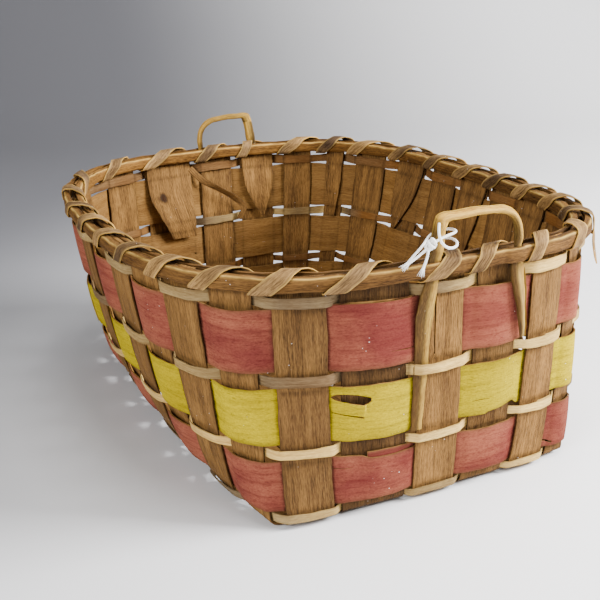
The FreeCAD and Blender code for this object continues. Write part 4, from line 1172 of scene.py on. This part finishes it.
def tuft(name, tip, before, length):
    """Loose fibres at a cut end, as a small brush of thin strands that spread from the string."""
    heading = unit(tip - before)
    side = unit(np.cross(heading, (0.3, 0.2, 1)))
    other = np.cross(heading, side)
    dice = random.Random(name)
    bpy.ops.object.select_all(action="DESELECT")
    bpy.ops.mesh.primitive_cone_add(vertices=5, radius1=0.24 * MM, radius2=0.06 * MM, depth=1,
                                    location=(0, 0, 0))
    model = bpy.context.object
    strands = []
    for n in range(22):
        strand = model.copy()
        strand.data = model.data.copy()
        bpy.context.collection.objects.link(strand)
        turned = dice.uniform(0, 6.3)
        reach = math.sqrt(dice.random())
        sway = (side * math.cos(turned) + other * math.sin(turned)) * reach
        bottom = tip - heading * 1.5 * MM + sway * STRING * 0.32
        top = tip + heading * length * dice.uniform(0.6, 1.0) + sway * length * 0.5
        sag = np.array((0, 0, -0.6 * MM * reach))
        for vertex in strand.data.vertices:
            x, y, z = vertex.co
            share = z + 0.5
            vertex.co = bottom + (top - bottom) * share + sag * share**2 + side * x + other * y
        strands.append(strand)
    bpy.data.objects.remove(model)
    for strand in strands:
        strand.select_set(True)
    bpy.context.view_layer.objects.active = strands[0]
    bpy.ops.object.join()
    brush = bpy.context.object
    brush.name = name
    brush.data.materials.append(cotton)
    bpy.ops.object.shade_smooth()
    return brush


def lay_string(name, route, node):
    """The string's curve through its route, in metres."""
    data = bpy.data.curves.new(name, "CURVE")
    data.dimensions = "3D"
    spline = data.splines.new("NURBS")
    spline.points.add(len(route) - 1)
    for point, spot in zip(spline.points, route):
        point.co = (*(c * MM for c in spot), 1)
    spline.order_u = 3
    spline.use_endpoint_u = True
    spline.resolution_u = 6
    data.bevel_depth = STRING / 2
    data.bevel_resolution = 4
    data.use_fill_caps = True
    string = bpy.data.objects.new(name, data)
    bpy.context.collection.objects.link(string)
    data.materials.append(cotton)
    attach(string, "root")
    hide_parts(node)
    return string


def end_tufts(string, ends):
    """The places along a string, and the tufts at its ends: a is the first, b the last."""
    points = route_points(string)
    tufts = []
    for end in ends:
        tip, before = (points[0], points[3]) if end == "a" else (points[-1], points[-4])
        piece = tuft(f"{string.name}_tuft_{end}", tip, before, 4.2 * MM)
        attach(piece, "root")
        tufts.append(piece)
    return points, tufts


bpy.ops.object.select_all(action="DESELECT")
upper = lay_string("upper_tie", UPPER_STRING, "string_upper")
lower = lay_string("lower_tie", LOWER_STRING, "string_lower")
upper_points, on_upper = end_tufts(upper, "ab")
# The knot: three tight turns of the same string where the loops' ends cross, each tilted its own way.
KNOT = Vector((209.8, -12.2, 173.2)) * MM
for n, (tilt, size) in enumerate(((0.2, 1.9), (1.1, 2.1), (2.2, 1.8))):
    bpy.ops.object.select_all(action="DESELECT")
    bpy.ops.mesh.primitive_torus_add(major_segments=32, minor_segments=10, major_radius=size * MM,
                                     minor_radius=0.95 * MM, location=(0, 0, 0))
    turn_of_knot = bpy.context.object
    turn_of_knot.name = f"knot_turn_{n + 1}"
    heading = Vector((math.sin(tilt) * 0.6, math.cos(tilt), math.sin(tilt) * 0.5 + 0.3)).normalized()
    spin = heading.to_track_quat("Z", "Y")
    shift = KNOT + Vector((0, -1.4 * n + 1.2, -1.1 * n + 0.9)) * MM
    for vertex in turn_of_knot.data.vertices:
        vertex.co = shift + spin @ (vertex.co * (1.0 + 0.08 * math.sin(7 * vertex.co.x / MM)))
    turn_of_knot.data.materials.append(cotton)
    bpy.ops.object.shade_smooth()
    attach(turn_of_knot, "root")
    on_upper.append(turn_of_knot)
lower_points, on_lower = end_tufts(lower, "b")  # its other end is in the knot

# ---------------------------------------------------------------- table, light and camera
# A seamless pale sweep that curves up far behind, lit by large soft sources: the strongest from the right,
# a weaker one from the left.  Its colour is painted from pale to grey towards the far left, a painted shade.
bpy.ops.object.select_all(action="DESELECT")
bpy.ops.mesh.primitive_grid_add(x_subdivisions=60, y_subdivisions=2, size=1, location=(0, 0, 0))
table = bpy.context.object
table.name = "table"
away = Vector((-0.913, 0.408, 0))  # from the camera over the table, level
SWEEP_FROM, SWEEP_RADIUS = 1.1, 0.9  # where the paper starts to curve up
for vertex in table.data.vertices:
    run = (vertex.co.x + 0.5) * 4.4 - 1.3
    side = vertex.co.y * 7
    rise = 0.0
    if run > SWEEP_FROM:
        turned = min((run - SWEEP_FROM) / SWEEP_RADIUS, math.pi / 2)
        rise = SWEEP_RADIUS * (1 - math.cos(turned)) + max(0, run - SWEEP_FROM - SWEEP_RADIUS * math.pi / 2)
        run = SWEEP_FROM + SWEEP_RADIUS * math.sin(turned)
    vertex.co = away * run + Vector((-away.y, away.x, 0)) * side + Vector((0, 0, rise))
bpy.ops.object.shade_smooth()
paper, tree, shader, add = new_finish("paper")
shader.inputs["Roughness"].default_value = 0.6
apart = add("ShaderNodeSeparateXYZ", {"Vector": add("ShaderNodeTexCoord").outputs["Object"]})
rightward = maths(add, "ADD", times(add, apart.outputs["X"], away.y),
                  times(add, apart.outputs["Y"], -away.x))
onward = maths(add, "ADD", times(add, apart.outputs["X"], away.x),
               times(add, apart.outputs["Y"], away.y))
onward = maths(add, "MINIMUM", onward, 0.75)
# Painted shade: darker towards the left and the far side, lighter as the sweep rises.
shade = maths(add, "SUBTRACT", rightward, times(add, onward, 0.42))
shade = maths(add, "ADD", shade, times(add, apart.outputs["Z"], 0.45))
painted_falloff = ramp(add, shade, -0.67, 0.48)
painted_falloff_colour = mix(add, painted_falloff, (0.125, 0.125, 0.137, 1), (0.92, 0.915, 0.925, 1))
tree.links.new(painted_falloff_colour, shader.inputs["Base Color"])
table.data.materials.append(paper)

LOOK = Vector((-0.8605, 0.3848, -0.3340))
aim = LOOK.to_track_quat("-Z", "Y") @ Quaternion((0, 0, 1), -0.0356)
bpy.ops.object.camera_add(location=(0.6713, -0.3006, 0.3337), rotation=aim.to_euler())
camera = bpy.context.object
camera.data.lens = 60.2
camera.data.sensor_width = 36
bpy.context.scene.camera = camera


def soft_light(name, place, target, size, power):
    """A large soft box that faces the target."""
    towards = Vector(target) - Vector(place)
    turned = towards.to_track_quat("-Z", "Y").to_euler()
    bpy.ops.object.light_add(type="AREA", location=place, rotation=turned)
    lamp = bpy.context.object
    lamp.name = name
    lamp.data.shape = "RECTANGLE"
    lamp.data.size, lamp.data.size_y = size
    lamp.data.energy = power


soft_light("right_box", (0.75, 1.30, 0.95), (0.1, 0.1, 0.05), (0.7, 0.6), 120)
soft_light("top_box", (0.35, 0.15, 1.7), (0.1, 0.1, 0), (0.7, 0.7), 26)
soft_light("left_box", (0.75, -1.5, 0.8), (0, -0.1, 0.08), (0.9, 0.7), 40)
world = bpy.data.worlds.new("studio")
bpy.context.scene.world = world
world.use_nodes = True
surround = world.node_tree.nodes["Background"]
surround.inputs["Color"].default_value = (0.77, 0.76, 0.76, 1)
surround.inputs["Strength"].default_value = 0.35
